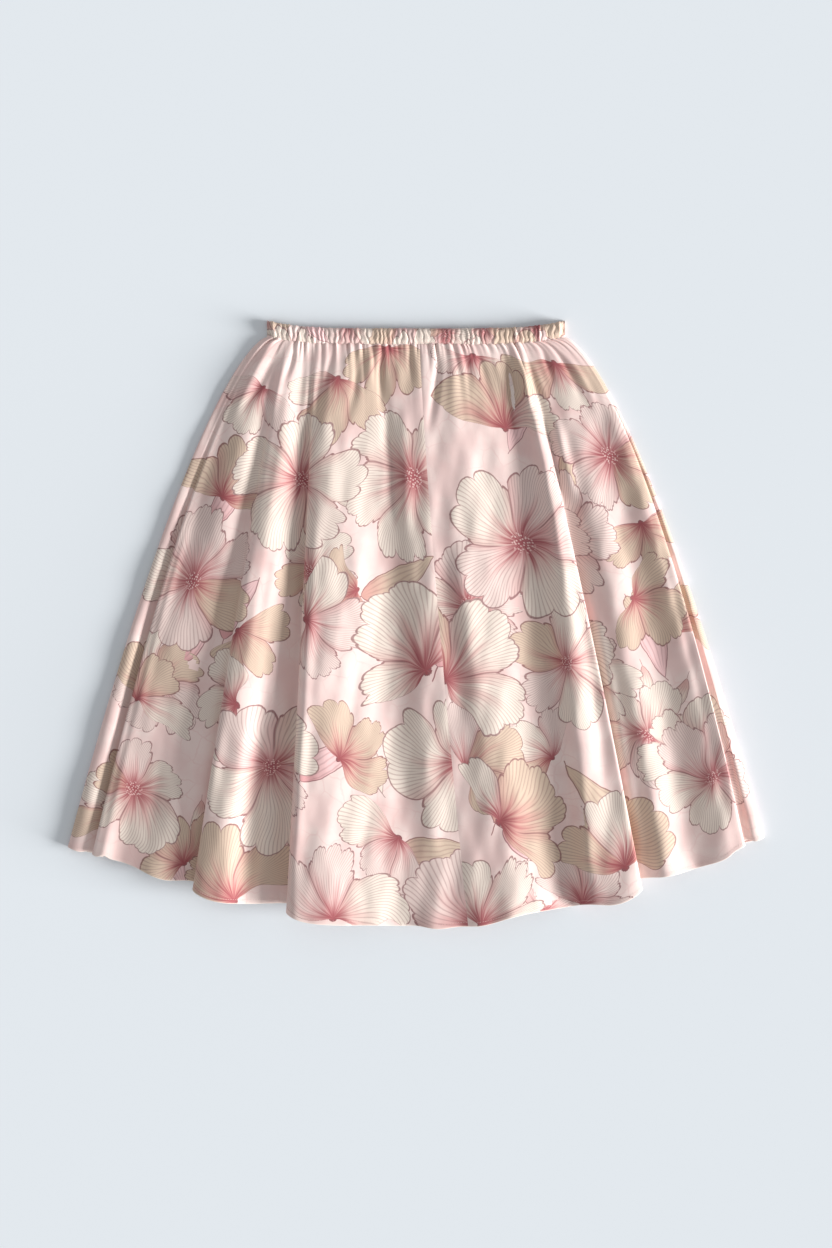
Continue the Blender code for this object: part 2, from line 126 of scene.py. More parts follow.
CLOSED_SLOPE = 0.15  # share of that slope left where the lap begins
SLOPE_MOST, APPROACH_MOST = 0.18, 0.36  # in the width of the fold below
TURN_MOST = 0.55  # of the way from the edge to the crest of the fold on top
TOE_RISE, TURN_RISE, SHOULDER_RISE = 0.05, 0.45, 0.9  # heights of a lap's points, in its own rise
BEND_REACH, TURN_REACH = 0.3, 0.6  # where the bend and the turn lie between the two folds' reaches
FLANK_SHARE, FLANK_RISE = 0.35, 0.27  # where an open valley's side passes, of its width and height

ARC_RADIUS = APEX_ABOVE_WAIST + SEAM_LENGTH - max(fold.reach for fold in FOLDS)
BAND_FOOT = 0.46  # from the waist seam to the casing
WAIST_Y = (SEAM_LENGTH - BAND_FOOT - BAND_HEIGHT - WAIST_END_RISE) / 2
PANEL_END = 1 - HEM_DEPTH / SEAM_LENGTH

# ---- finer form ----
CLOTH = 0.55  # thickness of the printed cloth
CLEAR = 0.05  # above the surface that the skirt lies on
FRONT_ROWS = 178
ROW_POWER = 1.2  # the rows lie closer at the waist
HEM_ROWS = 3
WAIST_STEP, HEM_STEP = 1.25, 2.9  # spacing of the mesh columns across the cloth
TUCKED_UP = (2.2, 1.0)  # the cloth goes on this far under the band, and this much lower
SHARP_ANGLE = np.radians(50)
WAIST_SAMPLES = 40  # to each control point, where the gathers are spaced along the waist

GATHER_HEIGHT = 1.2
GATHER_SHARPNESS = 0.75  # power of the gathers' profile: below 1 the valleys are narrower than the crests
GATHER_STRENGTHS = [Wave(0.34, 23.0, 1.0), Wave(0.30, 71.0, 0.0), Wave(0.25, 137.0, 2.0)]
GATHER_MEAN, RUFFLE_MEAN = 0.75, 0.7
GATHER_LENGTHS = [Wave(0.014, 41.0, 0.5), Wave(0.008, 89.0, 2.2)]
GATHER_LENGTH = 0.036  # share of the skirt's length in which a gather loses most of its height
GATHER_FADE, RUFFLE_FADE = 1.3, 1.5  # powers of the ways that they fade down the skirt
GATHER_RISE = 1 / 30  # share of the waist over which the gathers rise from a side seam
RUFFLES = 57  # tight ruffles right below the band
RUFFLE_HEIGHT, RUFFLE_LENGTH = 0.8, 0.016
RUFFLE_SHIFTS = [Wave(0.0035, 57.0, 0.0)]
RUFFLE_STRENGTHS = [Wave(0.35, 67.0, 0.4), Wave(0.30, 113.0, 1.9)]
SEAM_DIP, SEAM_DIP_WIDTH = 0.12, 1.4  # the cloth turns down at the centre seam

# Soft creases, given one by one. Each row: where the crease starts and ends on the laid skirt, how far
# its middle bows to the right, its half width, its height (below 0 for a trough), and the share of
# its length at which it is highest.
CREASES = [
    # gathers that run on below the casing
    ((-152, 305), (-206, 222), 4, 4.5, -2.6, 0.30),
    ((-143, 306), (-185, 190), 5, 5.5, 2.4, 0.35),
    ((-134, 307), (-150, 262), 2, 3.2, -2.4, 0.25),
    ((-118, 306), (-126, 195), 0, 5.0, 3.2, 0.50),
    ((-104, 306), (-114, 190), 0, 4.5, -3.0, 0.45),
    ((-91, 307), (-106, 218), -3, 4.0, -2.0, 0.30),
    ((-74, 306), (-80, 262), 0, 3.4, 1.3, 0.30),
    ((-62, 306), (-84, 205), 4, 4.4, -1.7, 0.35),
    ((-50, 307), (-52, 250), 0, 4.6, 1.7, 0.30),
    ((-38, 308), (-37, 214), -2, 3.6, -3.0, 0.30),
    ((-20, 306), (-16, 236), 1, 6.0, 1.5, 0.40),
    ((-7, 306), (-5, 262), 0, 3.0, -1.4, 0.30),
    ((26, 307), (9, 196), 3, 4.2, -3.2, 0.35),
    ((40, 306), (42, 205), 1, 6.5, 2.0, 0.40),
    ((55, 307), (62, 250), 1, 3.0, -1.3, 0.30),
    ((66, 307), (88, 225), 2, 4.4, -1.7, 0.35),
    ((80, 307), (104, 240), 2, 4.0, 1.3, 0.35),
    ((97, 308), (113, 200), 3, 3.8, -2.8, 0.30),
    ((103, 307), (112, 200), 0, 4.0, -3.0, 0.45),
    ((119, 306), (126, 200), 0, 4.5, 3.0, 0.50),
    ((121, 307), (152, 205), 5, 5.0, 2.0, 0.40),
    ((137, 309), (156, 248), 3, 3.2, -2.2, 0.30),
    ((151, 309), (186, 236), 6, 3.6, -2.2, 0.35),
    ((158, 308), (206, 214), 8, 4.0, 1.5, 0.45),
    # small folds on the left
    ((-96, 245), (-72, 60), 3, 9.0, -1.4, 0.40),
    ((-70, 165), (-52, -92), -4, 11.0, 1.9, 0.50),
    ((-64, 20), (-78, -170), 3, 9.0, -1.5, 0.45),
    ((-101, -120), (-96, -318), 2, 10.0, 1.4, 0.70),
    ((-52, -180), (-60, -325), -2, 8.0, -1.7, 0.75),
    ((-150, 120), (-186, -120), -5, 6.0, -1.3, 0.45),
    ((-178, -150), (-186, -300), 2, 7.0, 1.3, 0.60),
    ((-272, -90), (-305, -258), 2, 8.0, -2.0, 0.55),
    # ridges and troughs that shape the large folds
    ((-152, 240), (-258, -318), -6, 12.0, 6.0, 0.68),
    ((-155, 260), (-292, -370), -14, 18.0, -7.5, 0.60),
    ((-209, 235), (-362, -330), -15, 12.0, -6.0, 0.60),
    ((-196, 150), (-318, -330), -4, 26.0, -8.0, 0.70),
    ((-188, 275), (-268, 30), -6, 13.0, -5.5, 0.45),
    ((-156, 40), (-194, -350), 0, 11.0, -13.0, 0.75),
    ((-102, 220), (-146, -450), -3, 8.0, 6.0, 0.62),
    ((-37, 300), (-16, 60), -2, 6.0, -3.0, 0.45),
    ((-14, 270), (-10, 40), 0, 8.0, 3.0, 0.50),
    ((-28, -40), (-12, -400), 0, 24.0, 5.0, 0.60),
    ((-52, -60), (-44, -420), 0, 24.0, 3.0, 0.55),
    ((28, 230), (88, -300), 0, 12.0, 4.5, 0.40),
    ((6, 260), (72, -450), -5, 17.0, 7.5, 0.45),
    ((66, 250), (104, -20), 0, 16.0, -3.0, 0.40),
    ((50, -180), (84, -460), 0, 15.0, 5.5, 0.50),
    ((124, 230), (200, -400), 8, 10.0, 11.0, 0.75),
    ((130, 190), (168, -330), 0, 15.0, 7.5, 0.55),
    ((160, 170), (240, -420), 2, 12.0, -8.0, 0.62),
    ((177, 110), (278, -420), 4, 8.0, 8.0, 0.55),
    ((262, 140), (368, -260), 8, 9.0, 6.5, 0.70),
    ((146, 260), (180, 95), 2, 7.0, 6.5, 0.50),
    # small folds in the middle and on the right
    ((8, 150), (14, -60), 4, 9.0, 1.8, 0.40),
    ((60, 140), (72, -90), -6, 12.0, 1.6, 0.50),
    ((98, 190), (122, 20), 5, 8.0, -1.5, 0.40),
    ((84, -160), (92, -322), 3, 9.0, -1.6, 0.70),
    ((128, -200), (140, -325), 2, 9.0, 1.4, 0.70),
    ((12, -190), (16, -330), -2, 10.0, -1.5, 0.75),
    ((158, 180), (192, 30), 6, 6.0, -1.8, 0.40),
    ((186, 60), (226, -140), 5, 7.0, 1.4, 0.50),
    ((204, 150), (256, -20), 8, 7.0, -1.0, 0.40),
    ((262, -60), (300, -240), 4, 8.0, -1.0, 0.50),
    ((208, -150), (222, -310), 2, 7.0, 1.2, 0.60),
]
# The back lies on the surface, so its creases only rise.
BACK_CREASES = [
    ((-128, 300), (-196, 60), -4, 7.0, 1.6, 0.30),
    ((-96, 302), (-118, 110), 3, 6.0, 1.9, 0.25),
    ((-60, 303), (-92, -60), 6, 8.0, 1.5, 0.35),
    ((-22, 303), (-30, 130), -3, 6.0, 1.8, 0.25),
    ((14, 303), (2, -90), 5, 8.0, 1.4, 0.35),
    ((48, 303), (70, 120), 3, 6.0, 1.8, 0.30),
    ((86, 302), (132, -20), -6, 8.0, 1.6, 0.30),
    ((124, 300), (188, 90), 5, 6.5, 1.8, 0.25),
    ((-236, -40), (-300, -270), 4, 10.0, 1.5, 0.60),
    ((-130, -60), (-150, -300), -5, 11.0, 1.7, 0.65),
    ((-20, -120), (-34, -310), 4, 10.0, 1.4, 0.70),
    ((90, -80), (118, -305), 5, 11.0, 1.7, 0.60),
    ((214, -20), (262, -280), -5, 10.0, 1.6, 0.60),
]
CREASE_START, CREASE_GROWTH = 0.75, 0.6  # a crease's width at its start and what it gains, in its own
# Faint unevenness of the whole cloth: waves with their rates across and down, height and start.
RIPPLES = [
    (0.021, 0.006, 0.35, 0.4),
    (-0.034, 0.011, 0.28, 2.1),
    (0.055, 0.019, 0.06, 4.0),
    (-0.083, 0.013, 0.03, 1.2),
]
RIPPLES_FULL = 0.2  # share of the length in which they grow to their full height
BACK_COLUMNS, BACK_ROWS = 150, 120
BACK_GATHER_HEIGHT = 1.5
BACK_HEM_LIFT = 0.35  # room for the stitches under the back's hem
BACK_LIFT_FROM, BACK_LIFT_OVER = 0.97, 0.02  # shares of the length: where it starts to rise and how long

# ---- the flat cut of the front, a fan that the print lies on ----
CUT_WAIST, CUT_HEM = 480.0, 1010.0
CUT_ANGLE = (CUT_HEM - CUT_WAIST) / SEAM_LENGTH
CUT_RADIUS = CUT_WAIST / CUT_ANGLE
CASING_STRETCH = 2.1  # the casing's cloth is this much longer than the elastic holds it

# ---- the band ----
FINE_PUCKERS = 57
PUCKER_STATIONS = 14  # mesh columns to a pucker
FINE_SWELL = 1.5
PUCKER_SHIFTS = [Wave(0.0055, 29.0, 0.3), Wave(0.003, 61.0, 1.4), Wave(0.0016, 131.0, 0.0)]
FINE_STRENGTHS = [Wave(0.16, 83.0, 0.5), Wave(0.14, 163.0, 2.2), Wave(0.12, 241.0, 1.0)]
FINE_MEAN = 0.85
PUCKER_LEANS = [Wave(0.34, 37.0, 1.3), Wave(0.22, 97.0, 0.2)]  # over the band's height, in puckers
PUCKER_WAVER, WAVER_UP, WAVER_ALONG = 0.12, 9.0, 83.0  # a valley's unevenness and its two rates
HALF_PUCKERS, HALF_SHIFTS = 0.14, [Wave(1.5, 47.0, 0.0)]  # the small ridges between the puckers
STRENGTH_LEAN = 0.01  # how far along the band a pucker's strength moves over its height
VALLEY_SHARPNESS = 0.62
BAND_ROUND = (2.6, 5.0)  # powers that round its lower and its upper edge
EDGE_WALL, EDGE_SWELL = 0.25, 0.35  # shares of its height and of its puckers that are left at its edges
SWELL_SUNK = 0.3  # the valleys lie this far below the band's plain height
EDGE_RIPPLE = 0.7  # how far a pucker's swell pushes the band's edges out
EDGE_RIPPLE_MEAN = 0.8
UNDERSIDE = {1.0: 0.12, 0.92: 0.0, 0.5: 0.0, 0.08: 0.0, 0.0: 0.12}  # up the band: height, in its wall
BAND_RINGS, BAND_STITCH_RING = 17, 2  # rings over its upper side, and the one on the sewn line
BAND_STITCH_DIP, BAND_STITCH_WIDTH = 0.55, 0.8

# ---- sewing ----
STITCH_LENGTH, STITCH_STEP, THREAD = 2.2, 3.0, 0.32
STITCH_RINGS, STITCH_SIDES = 5, 6
STITCH_RISE, STITCH_SUNK = 0.75, 0.4  # of the thread's thickness, at its middle and at its ends
THREAD_TWIST = 0.45
HEM_STITCH_UP = 4.3  # above the hem's edge
HEM_THICKNESS = 0.95  # at its edge
HEM_ROUND_ANGLES = (60, 20, -20, -60)  # degrees, of the lines that round its edge

# ---- the print ----
FULL, FAN = 0, 1  # kinds of blossom: seen from the front, or from the side with its back petals hidden
# The blossoms on each half of the front, the topmost first: x and y of the centre on the laid skirt,
# radius, the way that the first petal points in degrees, kind, and share of its petals that are tan.
BLOSSOMS = {
    "left": [
        (-247, 50, 90, 20, FULL, 0.20),
        (-129, 160, 96, 75, FULL, 0.20),
        (-5, 162, 96, 110, FULL, 0.05),
        (20, -50, 118, 122, FAN, 0.30),
        (-160, -160, 98, 48, FULL, 0.20),
        (-314, -186, 78, 5, FULL, 0.10),
        (48, -156, 92, 178, FAN, 0.00),
        (-92, -326, 92, 80, FAN, 0.00),
        (-196, -322, 96, 104, FAN, 0.85),
        (-212, 140, 84, 62, FAN, 0.80),
        (-198, -90, 78, 165, FAN, 0.00),
        (-128, 6, 82, 350, FAN, 0.00),
        (-310, -84, 76, 40, FAN, 0.70),
        (-88, 268, 80, 250, FAN, 0.60),
        (-30, 306, 70, 268, FAN, 0.50),
        (-172, 262, 66, 236, FAN, 0.10),
        (-346, -212, 76, 95, FAN, 0.20),
        (-86, -150, 70, 30, FAN, 0.85),
        (66, -345, 100, 128, FAN, 0.00),
        (-196, -6, 72, 300, FAN, 0.80),
        (-66, 40, 66, 200, FAN, 0.90),
        (-256, -262, 70, 120, FAN, 0.90),
        (-20, -236, 74, 210, FAN, 0.15),
        (-120, 60, 70, 120, FULL, 0.10),
        (-290, -60, 70, 250, FULL, 0.25),
    ],
    "right": [
        (118, 92, 108, 150, FULL, 0.05),
        (166, 92, 92, 5, FULL, 0.20),
        (216, 188, 80, 300, FULL, 0.50),
        (32, -60, 112, 30, FAN, 0.80),
        (168, -46, 82, 80, FULL, 0.05),
        (92, -224, 94, 30, FAN, 0.70),
        (232, -268, 100, 92, FAN, 0.40),
        (330, -168, 80, 60, FULL, 0.05),
        (238, 30, 76, 345, FAN, 0.75),
        (312, -140, 80, 130, FAN, 0.00),
        (180, -318, 76, 62, FAN, 0.15),
        (100, 218, 100, 80, FAN, 0.60),
        (150, 290, 76, 275, FAN, 0.70),
        (206, -56, 70, 10, FAN, 0.00),
        (288, -8, 68, 70, FAN, 0.60),
        (54, -160, 78, 20, FAN, 0.10),
        (76, -345, 90, 50, FAN, 0.10),
        (64, 300, 70, 262, FAN, 0.20),
        (160, -345, 72, 104, FAN, 0.00),
        (248, 110, 70, 300, FAN, 0.60),
        (60, 20, 78, 300, FULL, 0.10),
        (256, -120, 72, 210, FULL, 0.10),
        (150, -150, 66, 150, FAN, 0.40),
    ],
}
# Leaves and sepals: x and y of the stalk's end, length, where it points, and which of three tints.
LEAVES = {
    "left": [
        (24, -48, 118, 62, 0),
        (-128, -172, 86, 42, 0),
        (-60, -128, 60, 300, 2),
        (-262, -40, 84, 48, 0),
        (-214, -16, 88, 62, 0),
        (-150, 8, 60, 200, 2),
        (-96, 150, 66, 320, 2),
        (-232, 110, 80, 40, 0),
        (-290, -232, 70, 300, 0),
        (-24, -258, 92, 18, 1),
        (-60, 30, 92, 12, 1),
        (-238, -196, 46, 250, 2),
    ],
    "right": [
        (30, -60, 128, 60, 0),
        (96, -226, 96, 318, 0),
        (88, -220, 92, 62, 1),
        (240, 22, 92, 305, 0),
        (252, -48, 58, 285, 2),
        (246, -250, 128, 112, 1),
        (220, -262, 96, 140, 1),
        (130, -280, 62, 290, 2),
        (176, 200, 80, 250, 1),
        (122, 250, 74, 230, 0),
        (300, -60, 60, 250, 2),
    ],
}
BLOSSOM_SLOTS, LEAF_SLOTS = 4, 3
BLOSSOM_REACH, LEAF_REACH = 1.12, 1.06
FAR = 9.0  # a place where no motif is drawn
# A motif's seed tells the material its kind or tint, its number and, for a blossom, how tan it is.
KIND_STEP, TINT_STEP, LEAF_NUMBERS = 100, 10, 7
TAN_START, TAN_SPAN = 0.05, 0.9  # a tan share of 0 to 1 is a fraction added to the number
FAN_BACK, LEAF_BACK = -0.42, -0.16  # a fan, and a leaf with its stalk, ends here behind its centre
TOPMOST_WITHIN = 4.0  # of a motif's place, the highest cloth this near to it counts
# Blossoms strewn over the back and the casing, each with a leaf: spacing, that of the rows in it, how
# far each is moved off its place, the share of full ones, how tan they are, and sizes.
SCATTER_STEP, SCATTER_ROWS = 104.0, 0.86
BLOSSOM_SHIFT, LEAF_SHIFT = 20, 30
FULL_SHARE, FULL_TAN, FAN_TANS = 0.45, 0.15, (0.0, 0.3, 0.8)
BLOSSOM_RADII, LEAF_LENGTHS = (66, 104), (70, 120)
SCATTER_NUMBERS = 90  # after this many the blossoms are numbered anew
CASING_MARGIN = 60  # the blossoms go on this far past the casing's cloth
PETALS = 5


def colour(red, green, blue):
    """A colour that is given as it shows on a screen, 0 to 255."""
    share = np.array([red, green, blue]) / 255
    linear = np.where(share <= 0.04045, share / 12.92, ((share + 0.055) / 1.055) ** 2.4)
    return (*linear.tolist(), 1.0)


GROUND = colour(234, 204, 198)
GROUND_PALE = colour(238, 215, 208)
GROUND_DEEP = colour(224, 180, 175)
CREAM = colour(234, 219, 206)
PETAL_PINK = colour(233, 210, 202)
TAN = colour(217, 193, 172)
ROSE = colour(197, 118, 120)
CENTRE = colour(150, 66, 74)
# ink of the print's lines, also used as the painted shade in the thread's twist
INK_AND_THREAD_SHADE = colour(138, 90, 92)
STAMEN = colour(246, 214, 206)
SEPAL = colour(240, 200, 198)
LEAF_PALE = colour(234, 218, 204)
WRONG_SIDE = colour(246, 232, 226)
# painted highlight where the hem's rounded edge catches the light
HEM_EDGE_HIGHLIGHT = colour(250, 238, 224)
THREAD_COLOUR = colour(240, 214, 205)
FLOOR = colour(229, 234, 238)
SKY = colour(250, 252, 255)


# ---- the front's form ----
def eased(share):
    """0 to 1 with level ends."""
    share = np.clip(share, 0.0, 1.0)
    return share * share * (3 - 2 * share)


def waves(table, share):
    return sum(wave.size * np.sin(wave.rate * share + wave.start) for wave in table)


def waist_rise(x):
    return WAIST_END_RISE * np.abs(2 * x / WAIST_WIDTH) ** WAIST_END_POWER


def hem_y(x, reach):
    return WAIST_Y + APEX_ABOVE_WAIST - np.sqrt((ARC_RADIUS + reach) ** 2 - x**2)


def across(t, line):
    return line.at_waist + (line.at_hem - line.at_waist) * t**line.bend


def level(t, start, mid, low):
    """A height that passes start, mid and low down the skirt, lifted by the waist at first."""
    settled = start * (1 - t) * (1 - 2 * t) + mid * 4 * t * (1 - t) + low * t * (2 * t - 1)
    hold = np.exp(-t / WAIST_HOLD)
    return hold * WAIST_LEVEL + (1 - hold) * settled


def point(t, line, height, reach, shift=0.0):
    """A place of the row at t. reach: how far the hem lies past the plain arc."""
    top = WAIST_Y + waist_rise(line.at_waist + shift)
    low = hem_y(line.at_hem + shift, reach)
    return (across(t, line) + shift, top + (low - top) * t, height)


def side_points(t, side, reach):
    line = Line(side * OUTER.at_waist, side * OUTER.at_hem, OUTER.bend)
    size = SIDE_AT_WAIST + (1 - SIDE_AT_WAIST) * t
    ground = CLOTH / 2 + CLEAR
    return [
        point(t, line, ground + up * SIDE_ROLL * size, reach, -side * inset * SIDE_TUCK * size)
        for inset, up in SIDE_POINTS
    ]


def lap_points(t, edge, floor, top, under_width, over_reach):
    """A fold's edge that lies over its neighbour, from the under layer to the shoulder.

    under_width: of the fold below. over_reach: from the edge to the crest of the fold on top.
    """
    side, rise = np.sign(edge.lap), top - floor
    lapped = max(0.0, (t - edge.laps_from) / (1 - edge.laps_from)) ** LAP_GROWTH
    closed = eased(lapped * LAP_CLOSES)
    opened = eased(1 - t / edge.laps_from)
    slope = min(OPEN_SLOPE, SLOPE_MOST * under_width) * (CLOSED_SLOPE + (1 - CLOSED_SLOPE) * opened)
    bend = min(BEND_HEIGHT, rise / 2)
    approach = -side * min(LAP_APPROACH, APPROACH_MOST * under_width)
    found = [point(t, edge.line, floor + TOE_RISE * rise, edge.under, approach)]
    for place in LAP_POINTS:
        shift = place.lapped_across * abs(edge.lap) * lapped - (1 - closed) * place.open_across * slope
        height = (1 - closed) * place.open_up * rise + closed * place.bend_up * bend
        reach = edge.under + BEND_REACH * (edge.over - edge.under) * place.bend_up
        found.append(point(t, edge.line, floor + height, reach, side * shift))
    turn = (1 - closed) * rise / 2 + closed * (bend + TURN_RISE * (rise - bend))
    reach = (1 - TURN_REACH) * edge.under + TURN_REACH * edge.over
    found.append(point(t, edge.line, floor + turn, reach))
    shoulder = side * min(LAP_TURN, TURN_MOST * over_reach)
    found.append(point(t, edge.line, floor + SHOULDER_RISE * rise, edge.over, shoulder))
    return found


def valley_points(t, edge, floor, tops, reaches):
    """An open valley: its floor between a point on each flank. reaches: from it to either crest."""
    left, right = [
        point(t, edge.line, floor + FLANK_RISE * (top - floor), edge.under, side * FLANK_SHARE * reach)
        for side, top, reach in zip((-1, 1), tops, reaches)
    ]
    return [left, point(t, edge.line, floor, edge.under), right]


def control_points(t):
    """The control points of the front's row at t, and the index of the one on the centre seam."""
    tops = [level(t, EARLY_CREST * fold.mid, fold.mid, fold.low) for fold in FOLDS]
    left_outer = Line(-OUTER.at_waist, -OUTER.at_hem, OUTER.bend)
    lines = [left_outer] + [edge.line for edge in EDGES] + [OUTER]
    found = side_points(t, -1, FOLDS[0].reach)
    seam = None
    for i, fold in enumerate(FOLDS):
        left, right = lines[i], lines[i + 1]
        place = Line(*[a + (b - a) * fold.crest for a, b in zip(left, right)])
        _, y, z = point(t, place, tops[i], fold.reach)
        width = across(t, right) - across(t, left)
        found.append((across(t, left) + width * fold.crest, y, z))
        if i == len(EDGES):
            break
        edge = EDGES[i]
        next_width = across(t, lines[i + 2]) - across(t, right)
        floor = level(t, edge.mid, edge.mid, edge.low)
        reaches = (1 - fold.crest) * width, FOLDS[i + 1].crest * next_width
        if edge.name == "centre_seam":
            seam = len(found) + 1
        if edge.lap > 0:
            found += lap_points(t, edge, floor, tops[i + 1], width, reaches[1])
        elif edge.lap < 0:
            found += lap_points(t, edge, floor, tops[i], next_width, reaches[0])[::-1]
        else:
            found += valley_points(t, edge, floor, tops[i : i + 2], reaches)
    found += reversed(side_points(t, 1, FOLDS[-1].reach))
    return np.array(found), seam


def unit(vectors):
    return vectors / np.maximum(np.linalg.norm(vectors, axis=-1, keepdims=True), 1e-9)


def lengths_along(paths):
    """How far along its path each point lies. Paths run down an array's last axis but one."""
    steps = np.linalg.norm(np.diff(paths, axis=-2), axis=-1)
    return np.concatenate([np.zeros((*steps.shape[:-1], 1)), np.cumsum(steps, axis=-1)], axis=-1)


def spline(points):
    """(lengths, second derivatives) of the natural cubic spline through points, over their chords."""
    lengths = lengths_along(points)
    steps = np.linalg.norm(np.diff(points, axis=0), axis=1)
    matrix, right = np.eye(len(points)), np.zeros_like(points)
    slopes = np.diff(points, axis=0) / steps[:, None]
    for i in range(1, len(points) - 1):
        matrix[i, i - 1 : i + 2] = steps[i - 1], 2 * (steps[i - 1] + steps[i]), steps[i]
        right[i] = 6 * (slopes[i] - slopes[i - 1])
    return lengths, np.linalg.solve(matrix, right)


def on_spline(points, places):
    """Points of the spline at places, each a control point's index with its share to the next."""
    lengths, bends = spline(points)
    at = np.interp(places, np.arange(len(points)), lengths)
    span = np.clip(np.searchsorted(lengths, at, side="right") - 1, 0, len(points) - 2)
    step = (lengths[span + 1] - lengths[span])[:, None]
    first = (lengths[span + 1] - at)[:, None] / step
    second = 1 - first
    curved = ((first**3 - first) * bends[span] + (second**3 - second) * bends[span + 1]) * step**2 / 6
    return first * points[span] + second * points[span + 1] + curved


def front_places():
    """The mesh columns as places along the control points, and the column on the centre seam."""
    spans = [np.linalg.norm(np.diff(control_points(t)[0], axis=0), axis=1) for t in (0.0, 0.5, 1.0)]
    waist, middle, hem = spans
    counts = np.ceil(np.maximum.reduce([waist / WAIST_STEP, middle / HEM_STEP, hem / HEM_STEP]))
    places = [i + np.arange(count) / count for i, count in enumerate(counts.astype(int))]
    seam = control_points(0.0)[1]
    return np.concatenate(places + [[len(counts)]]), int(counts[:seam].sum())


def gather_turns(places):
    """How many gathers lie before each place, unevenly spaced along the waist."""
    points, _ = control_points(0.0)
    fine = np.linspace(0, len(points) - 1, WAIST_SAMPLES * len(points))
    x = on_spline(points, fine)[:, 0]
    waist = slice(np.argmin(x), np.argmax(x) + 1)
    share = (x[waist] - x.min()) / (x.max() - x.min())
    uneven = waves(GATHER_SHIFTS, share)
    turns = GATHERS * (share + uneven - uneven[0] * (1 - share) - uneven[-1] * share)
    return np.interp(places, fine[waist], turns)


def gather_heights(turns, t, height):
    """Heights of the gathers for rows t (down) and columns with these turns (across)."""
    share = turns / GATHERS
    strength = GATHER_MEAN + waves(GATHER_STRENGTHS, share)
    length = GATHER_LENGTH + waves(GATHER_LENGTHS, share)
    ends = eased(np.minimum(share, 1 - share) / GATHER_RISE)
    crest = np.abs(np.sin(np.pi * turns)) ** GATHER_SHARPNESS
    fade = np.exp(-((t[:, None] / length) ** GATHER_FADE))
    ruffle_turns = RUFFLES * (share + waves(RUFFLE_SHIFTS, share))
    ruffles = 2 * np.abs(np.sin(np.pi * ruffle_turns)) ** GATHER_SHARPNESS - 1
    ruffles = ruffles * (RUFFLE_MEAN + waves(RUFFLE_STRENGTHS, share))
    ruffle_fade = np.exp(-((t[:, None] / RUFFLE_LENGTH) ** RUFFLE_FADE))
    ruffles = ruffles * ruffle_fade * RUFFLE_HEIGHT / GATHER_HEIGHT
    return height * ends * (strength * fade * (2 * crest - 1) + ruffles)


def crease_heights(x, y, creases):
    """Height that the creases add at each place of the laid skirt."""
    total = np.zeros_like(x)
    for start, end, bow, width, height, peak in creases:
        along = np.array(end, float) - start
        length = np.hypot(*along)
        along /= length
        share = ((x - start[0]) * along[0] + (y - start[1]) * along[1]) / length
        inside = np.clip(share, 0.0, 1.0)
        middle = bow * np.sin(np.pi * inside)
        off = (y - start[1]) * along[0] - (x - start[0]) * along[1] - middle
        past = (share - inside) * length
        spread = width * (CREASE_START + CREASE_GROWTH * inside)
        rise = np.where(inside < peak, eased(inside / peak), eased((1 - inside) / (1 - peak)))
        total += height * rise * np.exp(-((off / spread) ** 2) - (past / width) ** 2)
    return total


def ripples(x, y):
    """Height that the cloth's faint unevenness adds at each place of the laid skirt."""
    rates = [(x * across + y * down, height, start) for across, down, height, start in RIPPLES]
    return sum(height * np.sin(TURN * turns + start) for turns, height, start in rates)


def normals(grid):
    """Unit normals of a grid of points, rows running to -Y and columns to +X."""
    right, down = np.gradient(grid, axis=1), np.gradient(grid, axis=0)
    return unit(np.cross(down, right))


def arc_shares(grid):
    """Each point's share of its row's length."""
    lengths = lengths_along(grid)
    return lengths / lengths[:, -1:]


def cut_places(shares, t, seam_share):
    """Where the cloth lies in its flat cut: across and down, with the centre seam straight."""
    angle = (shares - seam_share) * CUT_ANGLE
    radius = (CUT_RADIUS + SEAM_LENGTH * t)[:, None] * np.ones_like(shares)
    return np.stack([radius * np.sin(angle), -radius * np.cos(angle)], axis=2)


def rows_down(panel):
    """Shares of the length at which the rows lie: the panel's own, then the hem's."""
    return np.concatenate([panel, np.linspace(PANEL_END, 1.0, HEM_ROWS + 1)[1:]])


def front_grid():
    """The whole front: its points, where they lie in the flat cut, and the seam's column."""
    t = rows_down(np.linspace(0, 1, FRONT_ROWS) ** ROW_POWER * PANEL_END)
    places, seam = front_places()
    plain = np.array([on_spline(control_points(row)[0], places) for row in t])
    shares = arc_shares(plain)
    turns = gather_turns(places)
    height = gather_heights(turns, t, GATHER_HEIGHT)
    from_seam = np.linalg.norm(plain - plain[:, seam : seam + 1], axis=2)
    height -= SEAM_DIP * np.exp(-((from_seam / SEAM_DIP_WIDTH) ** 2))
    grid = plain + normals(plain) * height[..., None]
    # the creases lift both layers of a lap together
    grid[..., 2] += crease_heights(plain[..., 0], plain[..., 1], CREASES)
    grid[..., 2] += ripples(plain[..., 0], plain[..., 1]) * eased(t / RIPPLES_FULL)[:, None]
    grid[..., 2] = np.maximum(grid[..., 2], CLOTH / 2 + CLEAR)
    seam_share = shares[:, seam : seam + 1]
    return grid, cut_places(shares, t, seam_share), seam


# ---- meshes ----
def grid_faces(columns, rows, closed=False):
    """Quads of a grid stored row after row, facing up where rows run towards the hem."""
    first = np.arange((rows - 1) * columns).reshape(rows - 1, columns)
    right = np.roll(first, -1, axis=1) if closed else first[:, 1:]
    first = first if closed else first[:, :-1]
    return np.stack([first, first + columns, right + columns, right], axis=-1).reshape(-1, 4)


def tube_faces(sections, around):
    """Faces of a closed tube with flat ends, its points stored section after section."""
    sides = grid_faces(around, sections, closed=True)[:, ::-1]
    last = around * (sections - 1)
    return sides.tolist() + [list(range(around))[::-1], list(range(last, last + around))]


